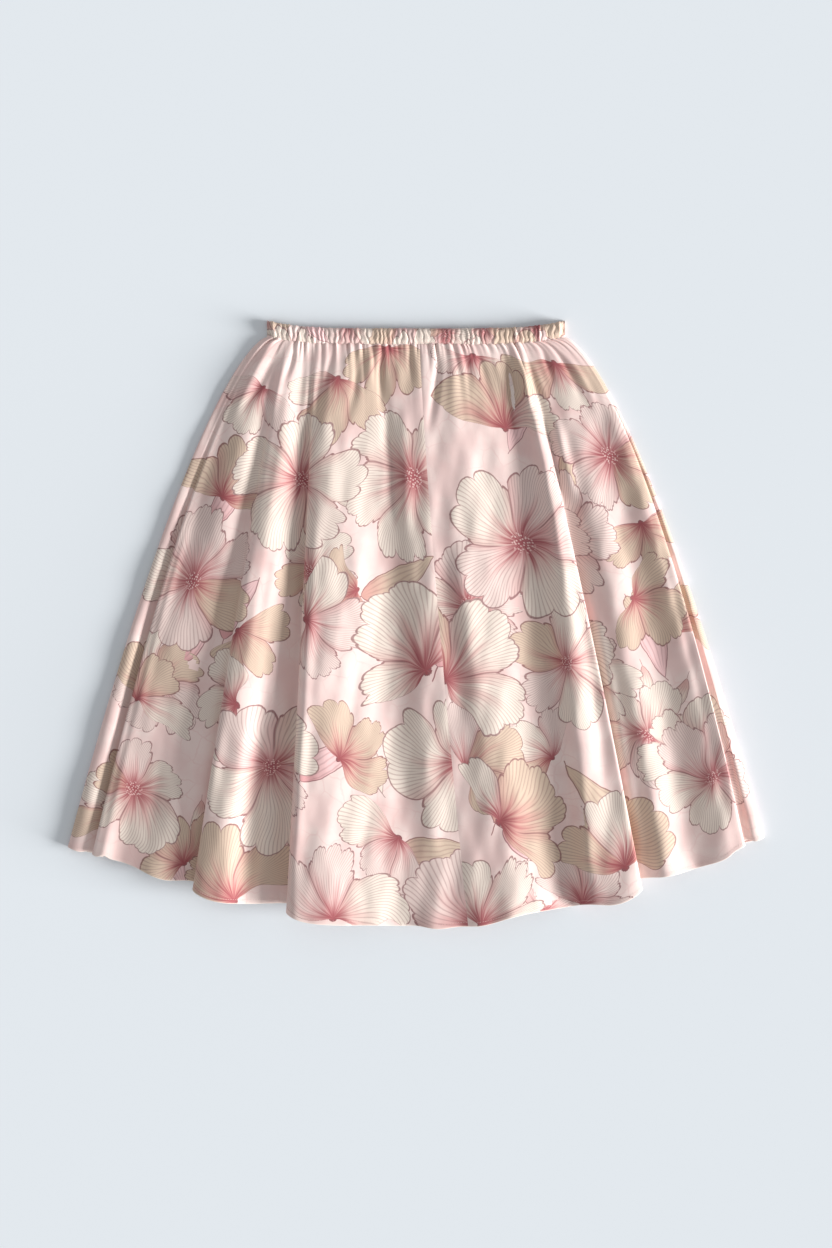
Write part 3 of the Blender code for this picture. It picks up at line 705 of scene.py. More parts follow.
def shell(grid, thickness):
    """A closed thin shell about a grid of points: its points, its faces and each face's side.

    The points are those of the upper side, then those of the underside, which is side 1.
    """
    rows, columns = grid.shape[:2]
    up = normals(grid) * thickness / 2
    points = np.stack([grid + up, grid - up])
    points[..., 2] = np.maximum(points[..., 2], CLEAR)
    upper = grid_faces(columns, rows)
    index = np.arange(rows * columns).reshape(rows, columns)
    rim = np.concatenate([index[0, :-1], index[:-1, -1], index[-1, :0:-1], index[:0:-1, 0]])
    after = np.roll(rim, -1)
    rim_faces = np.stack([rim, after, after + index.size, rim + index.size], axis=1)
    faces = np.concatenate([upper, upper[:, ::-1] + index.size, rim_faces])
    return points, faces, np.repeat([0, 1, 0], [len(upper), len(upper), len(rim)])


def add_object(name, data):
    made = bpy.data.objects.new(name, data)
    bpy.context.scene.collection.objects.link(made)
    return made


def add_piece(name, points, faces, materials, sides=None):
    """A closed mesh piece in metres that rides on the skirt's only body. sides: each face's material."""
    mesh = bpy.data.meshes.new(name)
    faces = faces if isinstance(faces, list) else faces.tolist()
    mesh.from_pydata((points.reshape(-1, 3) * MM).tolist(), [], faces)
    mesh.shade_smooth()
    mesh.set_sharp_from_angle(angle=SHARP_ANGLE)
    for material in materials:
        mesh.materials.append(material)
    if sides is not None:
        mesh.polygons.foreach_set("material_index", sides.astype(np.int32))
    piece = add_object(name, mesh)
    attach(piece, "root")
    return piece


# ---- the print's motifs on a sheet ----
def nearest_cut(x, y, grid, cut):
    """Where in the flat cut the topmost cloth at (x, y) lies."""
    off = np.hypot(grid[..., 0] - x, grid[..., 1] - y)
    near = off < off.min() + TOPMOST_WITHIN
    height = np.where(near, grid[..., 2] - off, -np.inf)
    return cut[np.unravel_index(np.argmax(height), height.shape)]


def corner_attribute(mesh, name, values):
    layer = mesh.attributes.new(name, "FLOAT_VECTOR", "CORNER")
    layer.data.foreach_set("vector", np.asarray(values, np.float32).ravel())


def corner_vertices(mesh):
    vertices = np.empty(len(mesh.loops), np.int32)
    mesh.loops.foreach_get("vertex_index", vertices)
    return vertices


def lay_cut(mesh, cut):
    """Puts on the mesh where each of its points lies in the flat cut. Returns its corners' places."""
    corners = cut.reshape(-1, 2)[corner_vertices(mesh)]
    corner_attribute(mesh, "cut", np.column_stack([corners * MM, np.zeros(len(corners))]))
    return corners


def motif_slots(corners, owner, motifs, count, reach):
    """For each face corner, its local places in the topmost motifs that reach its face.

    corners: places in the cut. owner: each corner's face. motifs: (centre, size, direction, seed,
    how far behind its centre it ends), the topmost first.
    """
    faces = owner[-1] + 1
    middle = np.stack([np.bincount(owner, corners[:, i]) for i in (0, 1)], axis=1)
    middle /= np.bincount(owner)[:, None]
    spread = np.zeros(faces)
    np.maximum.at(spread, owner, np.linalg.norm(corners - middle[owner], axis=1))
    slots = np.full((count, len(corners), 3), FAR)
    used = np.zeros(faces, int)
    for centre, size, direction, seed, back in motifs:
        cos, sin = np.cos(direction), np.sin(direction)
        turned = np.array([[cos, -sin], [sin, cos]])
        local = (middle - centre) @ turned
        touched = np.linalg.norm(local, axis=1) < size * reach + spread
        touched &= (local[:, 0] > size * back - spread) & (used < count)
        chosen = np.flatnonzero(touched[owner])
        slot = used[owner[chosen]]
        slots[slot, chosen, :2] = (corners[chosen] - centre) @ turned / size
        slots[slot, chosen, 2] = seed
        used[touched] += 1
    return slots


def lay_print(piece, cut, motifs):
    """Puts the cloth's places and its motifs, (blossoms, leaves), on the piece for its material."""
    mesh = piece.data
    corners = lay_cut(mesh, cut)
    sizes = np.empty(len(mesh.polygons), np.int32)
    mesh.polygons.foreach_get("loop_total", sizes)
    owner = np.repeat(np.arange(len(sizes)), sizes)
    limits = ("blossom", BLOSSOM_SLOTS, BLOSSOM_REACH), ("leaf", LEAF_SLOTS, LEAF_REACH)
    for found, (name, count, reach) in zip(motifs, limits):
        for i, values in enumerate(motif_slots(corners, owner, found, count, reach)):
            corner_attribute(mesh, f"{name}_{i}", values)


def blossom_at(place, radius, turn, number, kind, tan):
    """A motif for lay_print, with its seed. Only a fan ends close behind its centre."""
    seed = KIND_STEP * kind + number + TAN_START + TAN_SPAN * tan
    return place, radius, turn, seed, FAN_BACK if kind == FAN else -1.0 - BLOSSOM_REACH


def leaf_at(place, length, turn, number, tint):
    return place, length, turn, TINT_STEP * tint + number % LEAF_NUMBERS + 0.5, LEAF_BACK


def numbered(table, half):
    """The rows of one half of the front, numbered on from the left half to the right."""
    return enumerate(table[half], 0 if half == "left" else len(table["left"]))


def front_motifs(half, grid, cut):
    blossoms = [
        blossom_at(nearest_cut(x, y, grid, cut), radius, np.radians(turn), number, kind, tan)
        for number, (x, y, radius, turn, kind, tan) in numbered(BLOSSOMS, half)
    ]
    leaves = [
        leaf_at(nearest_cut(x, y, grid, cut), length, np.radians(turn), number, tint)
        for number, (x, y, length, turn, tint) in numbered(LEAVES, half)
    ]
    return blossoms, leaves


def scattered_motifs(low, high, seed):
    """Blossoms and leaves strewn over a stretch of cloth, in staggered rows with uneven places."""
    chance = np.random.default_rng(seed)
    blossoms, leaves = [], []
    for i, y in enumerate(np.arange(low[1], high[1] + SCATTER_STEP, SCATTER_STEP * SCATTER_ROWS)):
        for x in np.arange(low[0] + (i % 2) * SCATTER_STEP / 2, high[0] + SCATTER_STEP, SCATTER_STEP):
            place = np.array([x, y]) + chance.uniform(-BLOSSOM_SHIFT, BLOSSOM_SHIFT, 2)
            kind, tan = (FULL, FULL_TAN) if chance.random() < FULL_SHARE else (FAN, chance.choice(FAN_TANS))
            number = len(blossoms) % SCATTER_NUMBERS
            radius, turn = chance.uniform(*BLOSSOM_RADII), chance.uniform(0, TURN)
            blossoms.append(blossom_at(place, radius, turn, number, kind, tan))
            place = place + chance.uniform(-LEAF_SHIFT, LEAF_SHIFT, 2)
            tint = int(chance.integers(0, 3))
            length, turn = chance.uniform(*LEAF_LENGTHS), chance.uniform(0, TURN)
            leaves.append(leaf_at(place, length, turn, number, tint))
    return blossoms, leaves


# ---- shader graphs written as formulas ----
def math_call(name):
    """A method that puts its values through a math node. A Value is itself the first of them."""

    def apply(self, *values):
        if isinstance(self, Value):
            return self.graph.math(name, self, *values)
        return self.math(name, *values)

    return apply


class Value:
    """A socket in a shader graph that can be used in a formula."""

    def __init__(self, graph, socket):
        self.graph, self.socket = graph, socket

    __add__ = __radd__ = math_call("ADD")
    __sub__ = math_call("SUBTRACT")
    __mul__, __truediv__ = math_call("MULTIPLY"), math_call("DIVIDE")
    __pow__, __abs__ = math_call("POWER"), math_call("ABSOLUTE")

    def __rsub__(self, other):
        return self.graph.math("SUBTRACT", other, self)


class Graph:
    """A node tree with short calls for the nodes that the materials use."""

    def __init__(self, tree):
        self.tree = tree

    def node(self, kind, **settings):
        made = self.tree.nodes.new(kind)
        for name, value in settings.items():
            setattr(made, name, value)
        return made

    def feed(self, socket, value):
        if isinstance(value, Value):
            self.tree.links.new(value.socket, socket)
        else:
            socket.default_value = value

    def math(self, operation, *values):
        made = self.node("ShaderNodeMath", operation=operation)
        for socket, value in zip(made.inputs, values):
            self.feed(socket, value)
        return Value(self, made.outputs[0])

    sine, cosine, root = math_call("SINE"), math_call("COSINE"), math_call("SQRT")
    floor, largest = math_call("FLOOR"), math_call("MAXIMUM")

    def ridges(self, turns, sharpness):
        """Thin lines, 1 along their middles, one to each turn."""
        return (self.cosine(turns * TURN) * 0.5 + 0.5) ** sharpness

    def smooth(self, value, low, high, to_low=0.0, to_high=1.0):
        """Goes smoothly from to_low to to_high as value goes from low to high."""
        made = self.node("ShaderNodeMapRange", interpolation_type="SMOOTHSTEP")
        ends = {"Value": value, "From Min": low, "From Max": high, "To Min": to_low, "To Max": to_high}
        for name, given in ends.items():
            self.feed(made.inputs[name], given)
        return Value(self, made.outputs["Result"])

    def fade(self, value, low, high):
        """1 where value is low, falling smoothly to 0 where it is high."""
        return self.smooth(value, low, high, 1.0, 0.0)

    def mix(self, factor, a, b):
        """Colour a to colour b by factor."""
        made = self.node("ShaderNodeMix", data_type="RGBA", clamp_factor=True)
        for socket, given in zip((made.inputs[0], made.inputs[6], made.inputs[7]), (factor, a, b)):
            self.feed(socket, given)
        return Value(self, made.outputs[2])

    def vector(self, x, y, z=0.0):
        made = self.node("ShaderNodeCombineXYZ")
        for socket, given in zip(made.inputs, (x, y, z)):
            self.feed(socket, given)
        return Value(self, made.outputs[0])

    def split(self, vector):
        made = self.node("ShaderNodeSeparateXYZ")
        self.feed(made.inputs[0], vector)
        return [Value(self, socket) for socket in made.outputs]

    def noise(self, place, scale, detail, colour=False):
        made = self.node("ShaderNodeTexNoise", noise_dimensions="3D")
        self.feed(made.inputs["Vector"], place)
        made.inputs["Scale"].default_value = scale
        made.inputs["Detail"].default_value = detail
        return Value(self, made.outputs[1 if colour else 0])

    def voronoi(self, place, scale, feature):
        """Distance to the nearest of scattered points or of the edges between them, as feature says."""
        made = self.node("ShaderNodeTexVoronoi", feature=feature, voronoi_dimensions="2D")
        self.feed(made.inputs["Vector"], place)
        made.inputs["Scale"].default_value = scale
        return Value(self, made.outputs["Distance"])

    def chances(self, x, y):
        """Three numbers from 0 to 1 that stay the same for the same x and y."""
        made = self.node("ShaderNodeTexWhiteNoise", noise_dimensions="2D")
        self.feed(made.inputs["Vector"], self.vector(x, y))
        return self.split(Value(self, made.outputs["Color"]))

    def attribute(self, name):
        made = self.node("ShaderNodeAttribute", attribute_name=name)
        return Value(self, made.outputs["Vector"])


def new_motif(name):
    """A node group for a motif: its graph, Place's three numbers, and a call that joins up its outputs."""
    tree = bpy.data.node_groups.new(name, "ShaderNodeTree")
    tree.interface.new_socket("Place", in_out="INPUT", socket_type="NodeSocketVector")
    tree.interface.new_socket("Colour", in_out="OUTPUT", socket_type="NodeSocketColor")
    tree.interface.new_socket("Cover", in_out="OUTPUT", socket_type="NodeSocketFloat")
    graph = Graph(tree)
    entry, end = graph.node("NodeGroupInput"), graph.node("NodeGroupOutput")

    def finish(shades, cover):
        graph.feed(end.inputs["Colour"], shades)
        graph.feed(end.inputs["Cover"], cover)
        return tree

    return graph, graph.split(Value(graph, entry.outputs["Place"])), finish


def lay_motif(graph, tree, place, shades):
    """The colours below with the motif of a node group laid over them."""
    made = graph.node("ShaderNodeGroup", node_tree=tree)
    graph.feed(made.inputs["Place"], place)
    shade, cover = [Value(graph, made.outputs[name]) for name in ("Colour", "Cover")]
    return graph.mix(cover, shades, shade)


# ---- the motifs ----
# g is the Graph that a function draws in. Lengths in a blossom are in its radii, and in a leaf in its
# length. Pairs are the two values between which something fades. A motif's number, times a different
# odd factor in each place, makes every motif uneven in its own way.
WOBBLE, WOBBLE_SCALE = 0.24, 1.7  # hand-drawn unevenness of a whole blossom
PETAL_SHIFTS = [(1.0, 2.1, 0.16), (2.0, 3.7, 0.09)]  # waves round it that make its petals unequal
SWIRL, VEIN_SWIRL = 0.22, 0.3  # how far petals and their veins may curl towards their tips
PETAL_LEAST, PETAL_MORE = 0.8, 0.2  # length of the shortest petal, and what chance adds
PETAL_DENT, PETAL_ROUND = 0.34, 3.2  # how far a petal's rim falls back at its sides, and its power
BACK_PETALS = (0.1, -0.3)  # cosine of the way that a fan's petals point, from its front to its back ones
BACK_PETALS_GONE = 0.95  # share of their length that the back ones lose
STUB = (0.06, 0.08)  # how much of them still shows
LOBES_LEAST, LOBES_MORE, SCALLOPS = 2.9, 1.6, 3.4  # lobes to a petal, and scallops to a lobe
LOBE_DEPTH, SCALLOP_DEPTH, SCALLOP_LEAST = 0.13, 0.035, 0.2
SIDE_SLOPE = 1.8  # makes the ink as thin along a petal's steep sides as at its tip
INK_WIDTH = 0.0085
SIDE_INK_WIDTH, SIDE_SHADE_WIDTH = (0.003, 0.0135), (0.0, 0.17)
COARSE_VEINS, FINE_VEINS, VEIN_SHARPNESS = 14.0, 28.0, 5.0
VEINS_FROM, VEINS_FORK, SIDE_INK_FROM = (0.1, 0.34), (0.44, 0.58), (0.12, 0.3)
BLEED_REACH, HEART_REACH = (0.02, 0.66), (0.02, 0.3)
STAMENS, STAMEN_SIZE, STAMEN_REACH = 30.0, (0.16, 0.34), (0.09, 0.13)
BLEED, HEART, SIDE_SHADE, VEINS, DOTS = 0.7, 0.85, 0.34, 0.42, 0.7  # strengths of what is laid on
RIM_INK, SIDE_INK, INK_STRENGTH = 0.9, 0.75, 0.86
PETAL_EDGE = 0.001  # over which a chance goes from one of two colours to the other
LEAST = 0.0001  # keeps a power's base and a divisor above 0


def petal_places(g, x, y, number):
    """Places in a blossom of five unequal petals, hand-drawn and polar.

    off is how far from its petal's middle a place is, in the petal's width, and chances are three
    numbers from 0 to 1 that belong to the petal.
    """
    wobble, wobble_y, _ = g.split(g.noise(g.vector(x, y, number * 1.7), WOBBLE_SCALE, 0.5, colour=True))
    x = x + (wobble - 0.5) * WOBBLE
    y = y + (wobble_y - 0.5) * WOBBLE
    radius = g.root(x * x + y * y)
    angle = g.math("ARCTAN2", y, x)
    spin = angle * (PETALS / TURN) + 0.5
    for rate, factor, size in PETAL_SHIFTS:
        spin = spin + g.sine(angle * rate + number * factor) * size
    spin = spin + radius * radius * g.sine(number * 5.3) * SWIRL
    index = g.floor(spin)
    chances = g.chances(g.math("FLOORED_MODULO", index, float(PETALS)), number)
    places = {"x": x, "y": y, "radius": radius, "angle": angle, "wobble": wobble}
    return SimpleNamespace(**places, index=index, off=spin - index - 0.5, chances=chances)


def petal_rim(g, petal, is_fan):
    """Distance inward from the rim of a rounded petal with lobes, and how far the blossom covers."""
    length, lobed, scalloped = petal.chances
    side = g.largest(abs(petal.off) * 2.0, LEAST)
    facing = g.cosine(petal.angle + (petal.wobble - 0.5) * 0.8)
    turned_away = is_fan * g.smooth(facing, *BACK_PETALS)
    reach = (length * PETAL_MORE + PETAL_LEAST) * (1.0 - turned_away * BACK_PETALS_GONE)
    lobes = lobed * LOBES_MORE + LOBES_LEAST
    lobe = g.root(abs(g.cosine(petal.off * lobes * np.pi)))
    rounded = 1.0 - side**PETAL_ROUND * PETAL_DENT
    rim = reach * rounded * (1.0 - LOBE_DEPTH + lobe * LOBE_DEPTH)
    scallops = g.root(abs(g.sine(petal.off * lobes * (SCALLOPS * np.pi) + lobed * 6.0)))
    depth = g.smooth(scalloped, 0.4, 0.6, SCALLOP_LEAST, 1.0) * SCALLOP_DEPTH
    rim = rim * (1.0 - depth + scallops * depth)
    from_rim = (rim - petal.radius) / (side * side * SIDE_SLOPE + 1.0)
    hidden = g.smooth(turned_away, 0.8, 0.9) * g.smooth(petal.radius, *STUB)
    return from_rim, g.smooth(from_rim, -INK_WIDTH, -INK_WIDTH / 2) * (1.0 - hidden)


def petal_wash(g, petal, number, bent, tan_share):
    """A petal's colours: its own, and rose and dark rose that bleed out from the heart."""
    _, pink, tan = petal.chances
    shades = g.mix(g.smooth(pink, 0.5, 0.62), CREAM, PETAL_PINK)
    shades = g.mix(g.fade(tan - tan_share, -PETAL_EDGE, PETAL_EDGE), shades, TAN)
    streaks = g.vector(bent * 9.0, petal.radius * 0.9, number + petal.index * 3.1)
    streak = g.noise(streaks, 1.0, 2.0) - 0.5
    wedge = g.smooth(tan, 0.3, 0.7, 0.9, 0.25) * abs(petal.off) * 2.0
    bleed = g.fade(petal.radius + streak * 0.8 + wedge * petal.radius, *BLEED_REACH)
    heart = g.fade(petal.radius + streak * 0.6 + abs(petal.off) * 0.12, *HEART_REACH)
    return g.mix(bleed * BLEED, shades, ROSE), heart


def petal_veins(g, petal, bent):
    """Veins along the petals that fork half way out."""
    forked = g.smooth(petal.radius, *VEINS_FORK)
    coarse, fine = [g.ridges(bent * count, VEIN_SHARPNESS) for count in (COARSE_VEINS, FINE_VEINS)]
    return (coarse * (1.0 - forked) + fine * forked) * g.smooth(petal.radius, *VEINS_FROM)


def blossom_group():
    """A five-petalled flower at Place: x and y in its radii, z its seed. Colour and Cover."""
    g, (x, y, seed), finish = new_motif("blossom")
    is_fan = g.smooth(g.floor(seed / float(KIND_STEP)), 0.4, 0.6)
    number = g.floor(seed)
    tan_share = (seed - number - TAN_START) / TAN_SPAN
    petal = petal_places(g, x, y, number)
    from_rim, cover = petal_rim(g, petal, is_fan)
    rim_ink = g.fade(abs(from_rim), INK_WIDTH * 0.45, INK_WIDTH * 1.25)
    from_side = (0.5 - abs(petal.off)) * petal.radius * (TURN / PETALS)
    side_ink = g.fade(from_side, *SIDE_INK_WIDTH) * g.smooth(petal.radius, *SIDE_INK_FROM)
    lit_side = g.smooth(petal.off, -0.1, 0.1, 1.9, 1.0)
    side_shade = g.fade(from_side * lit_side, *SIDE_SHADE_WIDTH)

    bent = petal.off + petal.radius * petal.radius * (petal.chances[2] - 0.5) * VEIN_SWIRL
    shades, heart = petal_wash(g, petal, number, bent, tan_share)
    shades = g.mix(side_shade * SIDE_SHADE, shades, ROSE)
    shades = g.mix(petal_veins(g, petal, bent) * VEINS, shades, INK_AND_THREAD_SHADE)
    shades = g.mix(heart * HEART, shades, CENTRE)
    dots = g.fade(g.voronoi(g.vector(petal.x, petal.y), STAMENS, "F1"), *STAMEN_SIZE)
    dots = dots * g.fade(petal.radius, *STAMEN_REACH) * (1.0 - is_fan)
    shades = g.mix(dots * DOTS, shades, STAMEN)
    ink = g.largest(rim_ink * RIM_INK, side_ink * SIDE_INK)
    return finish(g.mix(ink * INK_STRENGTH, shades, INK_AND_THREAD_SHADE), cover)


LEAF_WIDTH, LEAF_BEND, LEAF_BELLY = 0.17, 0.24, 0.8
LEAF_PALE_THINNER = 0.04  # how much narrower the leaves of the last tint are
LEAF_WOBBLE, LEAF_WOBBLE_SCALE = 0.07, 4.0
LEAF_RIM, LEAF_INK, STALK_END = (-0.008, -0.003), (0.004, 0.012), (LEAF_BACK, LEAF_BACK + 0.02)
LEAF_RIBS, RIB_SHARPNESS = 2.5, 4.0
RIBS, LEAF_BLUSH, LEAF_INK_STRENGTH = 0.32, 0.55, 0.8


def leaf_group():
    """A pointed leaf or sepal at Place: x along and y across in its lengths, z its seed."""
    g, (x, y, seed), finish = new_motif("leaf")
    tint = g.floor(seed / float(TINT_STEP))
    number = seed - tint * float(TINT_STEP)
    is_tan, is_pale = g.smooth(tint, 0.4, 0.6), g.smooth(tint, 1.4, 1.6)
    wobble = g.noise(g.vector(x, y, number * 2.3), LEAF_WOBBLE_SCALE, 2.0) - 0.5
    along = g.math("MINIMUM", g.largest(x, 0.0), 1.0)
    to_side = g.smooth(g.sine(number * 2.4), -0.1, 0.1, -1.0, 1.0)
    side = y - along * along * LEAF_BEND * to_side + wobble * LEAF_WOBBLE
    belly = g.largest(g.sine(along**LEAF_BELLY * np.pi), LEAST) ** LEAF_BELLY
    half = belly * (LEAF_WIDTH - is_pale * LEAF_PALE_THINNER)
    from_rim = half - abs(side)
    cover = g.smooth(from_rim, *LEAF_RIM) * g.smooth(x, *STALK_END)
    rim_ink = g.fade(abs(from_rim), *LEAF_INK)
    ribs = g.ridges(side / g.largest(half, 0.01) * LEAF_RIBS, RIB_SHARPNESS)
    ribs = ribs * g.smooth(along, 0.0, 0.2) * g.smooth(along, 0.98, 0.8)
    shades = g.mix(is_pale, g.mix(is_tan, SEPAL, TAN), LEAF_PALE)
    shades = g.mix(g.fade(along + wobble * 0.4, 0.0, 0.5) * LEAF_BLUSH, shades, ROSE)
    shades = g.mix(ribs * RIBS, shades, INK_AND_THREAD_SHADE)
    return finish(g.mix(rim_ink * LEAF_INK_STRENGTH, shades, INK_AND_THREAD_SHADE), cover)


CLOUDS, BLUSH, CRACKS, CRACK_WARP = 22.0, 13.0, 42.0, 60.0  # scales, to a metre of cloth
WARP_DISTANCE = (0.012, 0.012, 0.0)
CRACK_WIDTH, BLUSH_STRENGTH, CRACK_STRENGTH = (0.012, 0.05), 0.55, 0.3


def ground(g, place):
    """The pink ground: soft clouds with faint crackled lines. place is in metres."""
    clouds = g.noise(place, CLOUDS, 3.0)
    shades = g.mix(g.smooth(clouds, 0.38, 0.62), GROUND, GROUND_PALE)
    blush = g.smooth(g.noise(place, BLUSH, 2.0), 0.52, 0.72, 0.0, BLUSH_STRENGTH)
    shades = g.mix(blush, shades, GROUND_DEEP)
    warp = g.node("ShaderNodeVectorMath", operation="MULTIPLY_ADD")
    moved = g.noise(place, CRACK_WARP, 3.0, colour=True), WARP_DISTANCE, place
    for socket, given in zip(warp.inputs, moved):
        g.feed(socket, given)
    cracks = g.voronoi(Value(g, warp.outputs[0]), CRACKS, "DISTANCE_TO_EDGE")
    lines = g.fade(cracks, *CRACK_WIDTH) * g.smooth(clouds, 0.42, 0.6)
    return g.mix(lines * CRACK_STRENGTH, shades, GROUND_DEEP)


def print_colour(g, blossom, leaf):
    """The whole print, its motifs laid over the ground from the lowest to the topmost."""
    shades = ground(g, g.attribute("cut"))
    for group, name, count in ((leaf, "leaf", LEAF_SLOTS), (blossom, "blossom", BLOSSOM_SLOTS)):
        for i in reversed(range(count)):
            shades = lay_motif(g, group, g.attribute(f"{name}_{i}"), shades)
    return shades


# ---- materials ----
WEAVE_PITCH = 0.9 * MM
WEAVE_HEIGHT, CRUMPLE_HEIGHT, FINE_HEIGHT = 0.05, 0.3, 0.12  # in millimetres, as the bump's distance is
CRUMPLES, FINE_CRUMPLES, DULL_PATCHES = 70.0, 420.0, 90.0  # scales, to a metre of cloth
ROUGHNESS_VARIES = 0.06
SHEEN, SHEEN_ROUGHNESS, CLOTH_SPECULAR = 0.12, 0.45, 0.3
WRONG_SIDE_PALE = 0.72  # how far the print is covered on the wrong side
# the hem's painted highlight: how strongly it covers the print, and from where to where it spans
HEM_HIGHLIGHT_STRENGTH, HEM_HIGHLIGHT_SPAN = 0.8, (0.35, 0.75)  # how pale the turned edge is, and from where to where
# strength of the painted shade in the grooves of the thread's twist
TWIST_SHADE = 0.4


def new_material(name, **plain):
    """A material that isn't metal, its graph and its shader. plain: shader inputs with constants."""
    material = bpy.data.materials.new(name)
    material.use_nodes = True
    shader = material.node_tree.nodes["Principled BSDF"]
    for label, value in {"Metallic": 0.0, **plain}.items():
        shader.inputs[label.replace("_", " ")].default_value = value
    return material, Graph(material.node_tree), shader


def cloth_bump(g, strength):
    """Weave and small crumples of the cloth, from its places in the flat cut."""
    place = g.attribute("cut")
    x, y, _ = g.split(place)
    weave = g.sine(x * (TURN / WEAVE_PITCH)) * g.sine(y * (TURN / WEAVE_PITCH)) * WEAVE_HEIGHT
    crumple = g.noise(place, CRUMPLES, 3.0) * CRUMPLE_HEIGHT
    fine = g.noise(place, FINE_CRUMPLES, 2.0) * FINE_HEIGHT
    bump = g.node("ShaderNodeBump")
    bump.inputs["Strength"].default_value = strength
    bump.inputs["Distance"].default_value = MM
    g.feed(bump.inputs["Height"], weave + crumple + fine)
    return Value(g, bump.outputs["Normal"])


def cloth_material(name, colour_of, strength=0.5, roughness=0.82):
    material, g, shader = new_material(
        name, Sheen_Weight=SHEEN, Sheen_Roughness=SHEEN_ROUGHNESS, Specular_IOR_Level=CLOTH_SPECULAR
    )
    g.feed(shader.inputs["Base Color"], colour_of(g))
    patches = g.noise(g.attribute("cut"), DULL_PATCHES, 2.0)
    least, most = roughness - ROUGHNESS_VARIES, roughness + ROUGHNESS_VARIES
    g.feed(shader.inputs["Roughness"], g.smooth(patches, 0.3, 0.7, least, most))
    g.feed(shader.inputs["Normal"], cloth_bump(g, strength))
    return material


def add_materials():
    blossom, leaf = blossom_group(), leaf_group()

    def printed(g):
        return print_colour(g, blossom, leaf)

    def wrong_side(g):
        return g.mix(WRONG_SIDE_PALE, printed(g), WRONG_SIDE)

    def hem_cloth(g):
        edge, _, _ = g.split(g.attribute("edge"))
        # the print, with a painted highlight along the hem's rounded edge, where it catches the light
        return g.mix(g.smooth(edge, *HEM_HIGHLIGHT_SPAN, 0.0, HEM_HIGHLIGHT_STRENGTH), printed(g), HEM_EDGE_HIGHLIGHT)

    def thread(g):
        along, around, _ = g.split(g.attribute("cut"))
        # painted shade in the grooves of the thread's twist, in the ink's colour
        twist = g.sine((along + around) * (TURN / (THREAD_TWIST * MM)))
        return g.mix(g.smooth(twist, -0.6, 0.9, 0.0, TWIST_SHADE), THREAD_COLOUR, INK_AND_THREAD_SHADE)

    return {
        "print": cloth_material("printed_cloth", printed),
        "wrong": cloth_material("wrong_side", wrong_side),
        "hem": cloth_material("hem_cloth", hem_cloth),
        "casing": cloth_material("casing_cloth", printed, strength=0.8),
        "thread": cloth_material("thread", thread, strength=0.2, roughness=0.6),
    }


# ---- pieces ----
def half_of(values, seam, left):
    return values[:, : seam + 1] if left else values[:, seam:]


def tucked_up(grid, cut):
    """Adds a row above the waist seam that the band covers."""
    up, down = TUCKED_UP
    hidden = grid[:1] + (0.0, up, -down)
    hidden[..., 2] = np.maximum(hidden[..., 2], CLOTH / 2 + CLEAR)
    grid = np.concatenate([hidden, grid])
    cut = np.concatenate([cut[:1] + (0.0, up), cut])
    return grid, cut


def add_cloth(name, node, grid, cut, motifs, materials):
    """A panel of the printed cloth."""
    points, faces, sides = shell(grid, CLOTH)
    piece = add_piece(name, points, faces, materials, sides)
    lay_print(piece, np.stack([cut, cut]), motifs)
    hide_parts(node)
    return piece


def add_hem(name, node, grid, cut, motifs, materials):
    """A narrow turned hem along the last rows of a panel, flush with it, a painted highlight along its
    rounded edge, and its stitches.
    """
    up = normals(grid)
    down = unit(grid[-1] - grid[-2])
    rows = len(grid)
    half = CLOTH / 2 + (HEM_THICKNESS - CLOTH) / 2 * np.arange(rows)[:, None, None] / (rows - 1)
    turns = np.radians(HEM_ROUND_ANGLES)[:, None, None]
    rounded = grid[-1] + half[-1] * (up[-1] * np.sin(turns) + down * np.cos(turns))
    rings = np.concatenate([grid + up * half, rounded, (grid - up * half)[::-1]])
    rings[..., 2] = np.maximum(rings[..., 2], CLEAR)
    places = np.concatenate([cut, np.repeat(cut[-1:], len(turns), axis=0), cut[::-1]])
    near = np.concatenate([np.linspace(0, 0.5, rows), np.ones(len(turns)), np.linspace(0.5, 0, rows)])
    around, sections = rings.shape[:2]
    piece = add_piece(name, rings.transpose(1, 0, 2), tube_faces(sections, around), [materials["hem"]])
    lay_print(piece, places.transpose(1, 0, 2), motifs)
    # how near each point lies to the hem's rounded edge, which carries the painted highlight
    edge = np.zeros((sections * around, 3))
    edge[:, 0] = np.tile(near, sections)
    corner_attribute(piece.data, "edge", edge[corner_vertices(piece.data)])
    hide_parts(node)

    row = (HEM_DEPTH - HEM_STITCH_UP) / HEM_DEPTH * (rows - 1)
    above, below = int(row), int(row) + 1
    path, facing, rise = [v[above] + (v[below] - v[above]) * (row - above) for v in (grid, up, half)]
    for label, side in (("outside", 1), ("inside", -1)):
        stitched = path + side * facing * rise
        add_stitches(f"{name}_stitches_{label}", stitched, side * facing, materials)
    return piece


def add_front(half, grid, cut, seam, materials):
    """One half of the front with its hem."""
    motifs = front_motifs(half, grid, cut)
    points, places = [half_of(values, seam, half == "left") for values in (grid, cut)]
    sheet = tucked_up(points[:FRONT_ROWS], places[:FRONT_ROWS])
    cloth = [materials["print"], materials["wrong"]]
    piece = add_cloth(f"front_{half}_cloth", f"front_{half}_panel", *sheet, motifs, cloth)
    strip = points[FRONT_ROWS - 1 :], places[FRONT_ROWS - 1 :]
    hem = add_hem(f"front_{half}_hem", f"hem_front_{half}", *strip, motifs, materials)
    return piece, hem


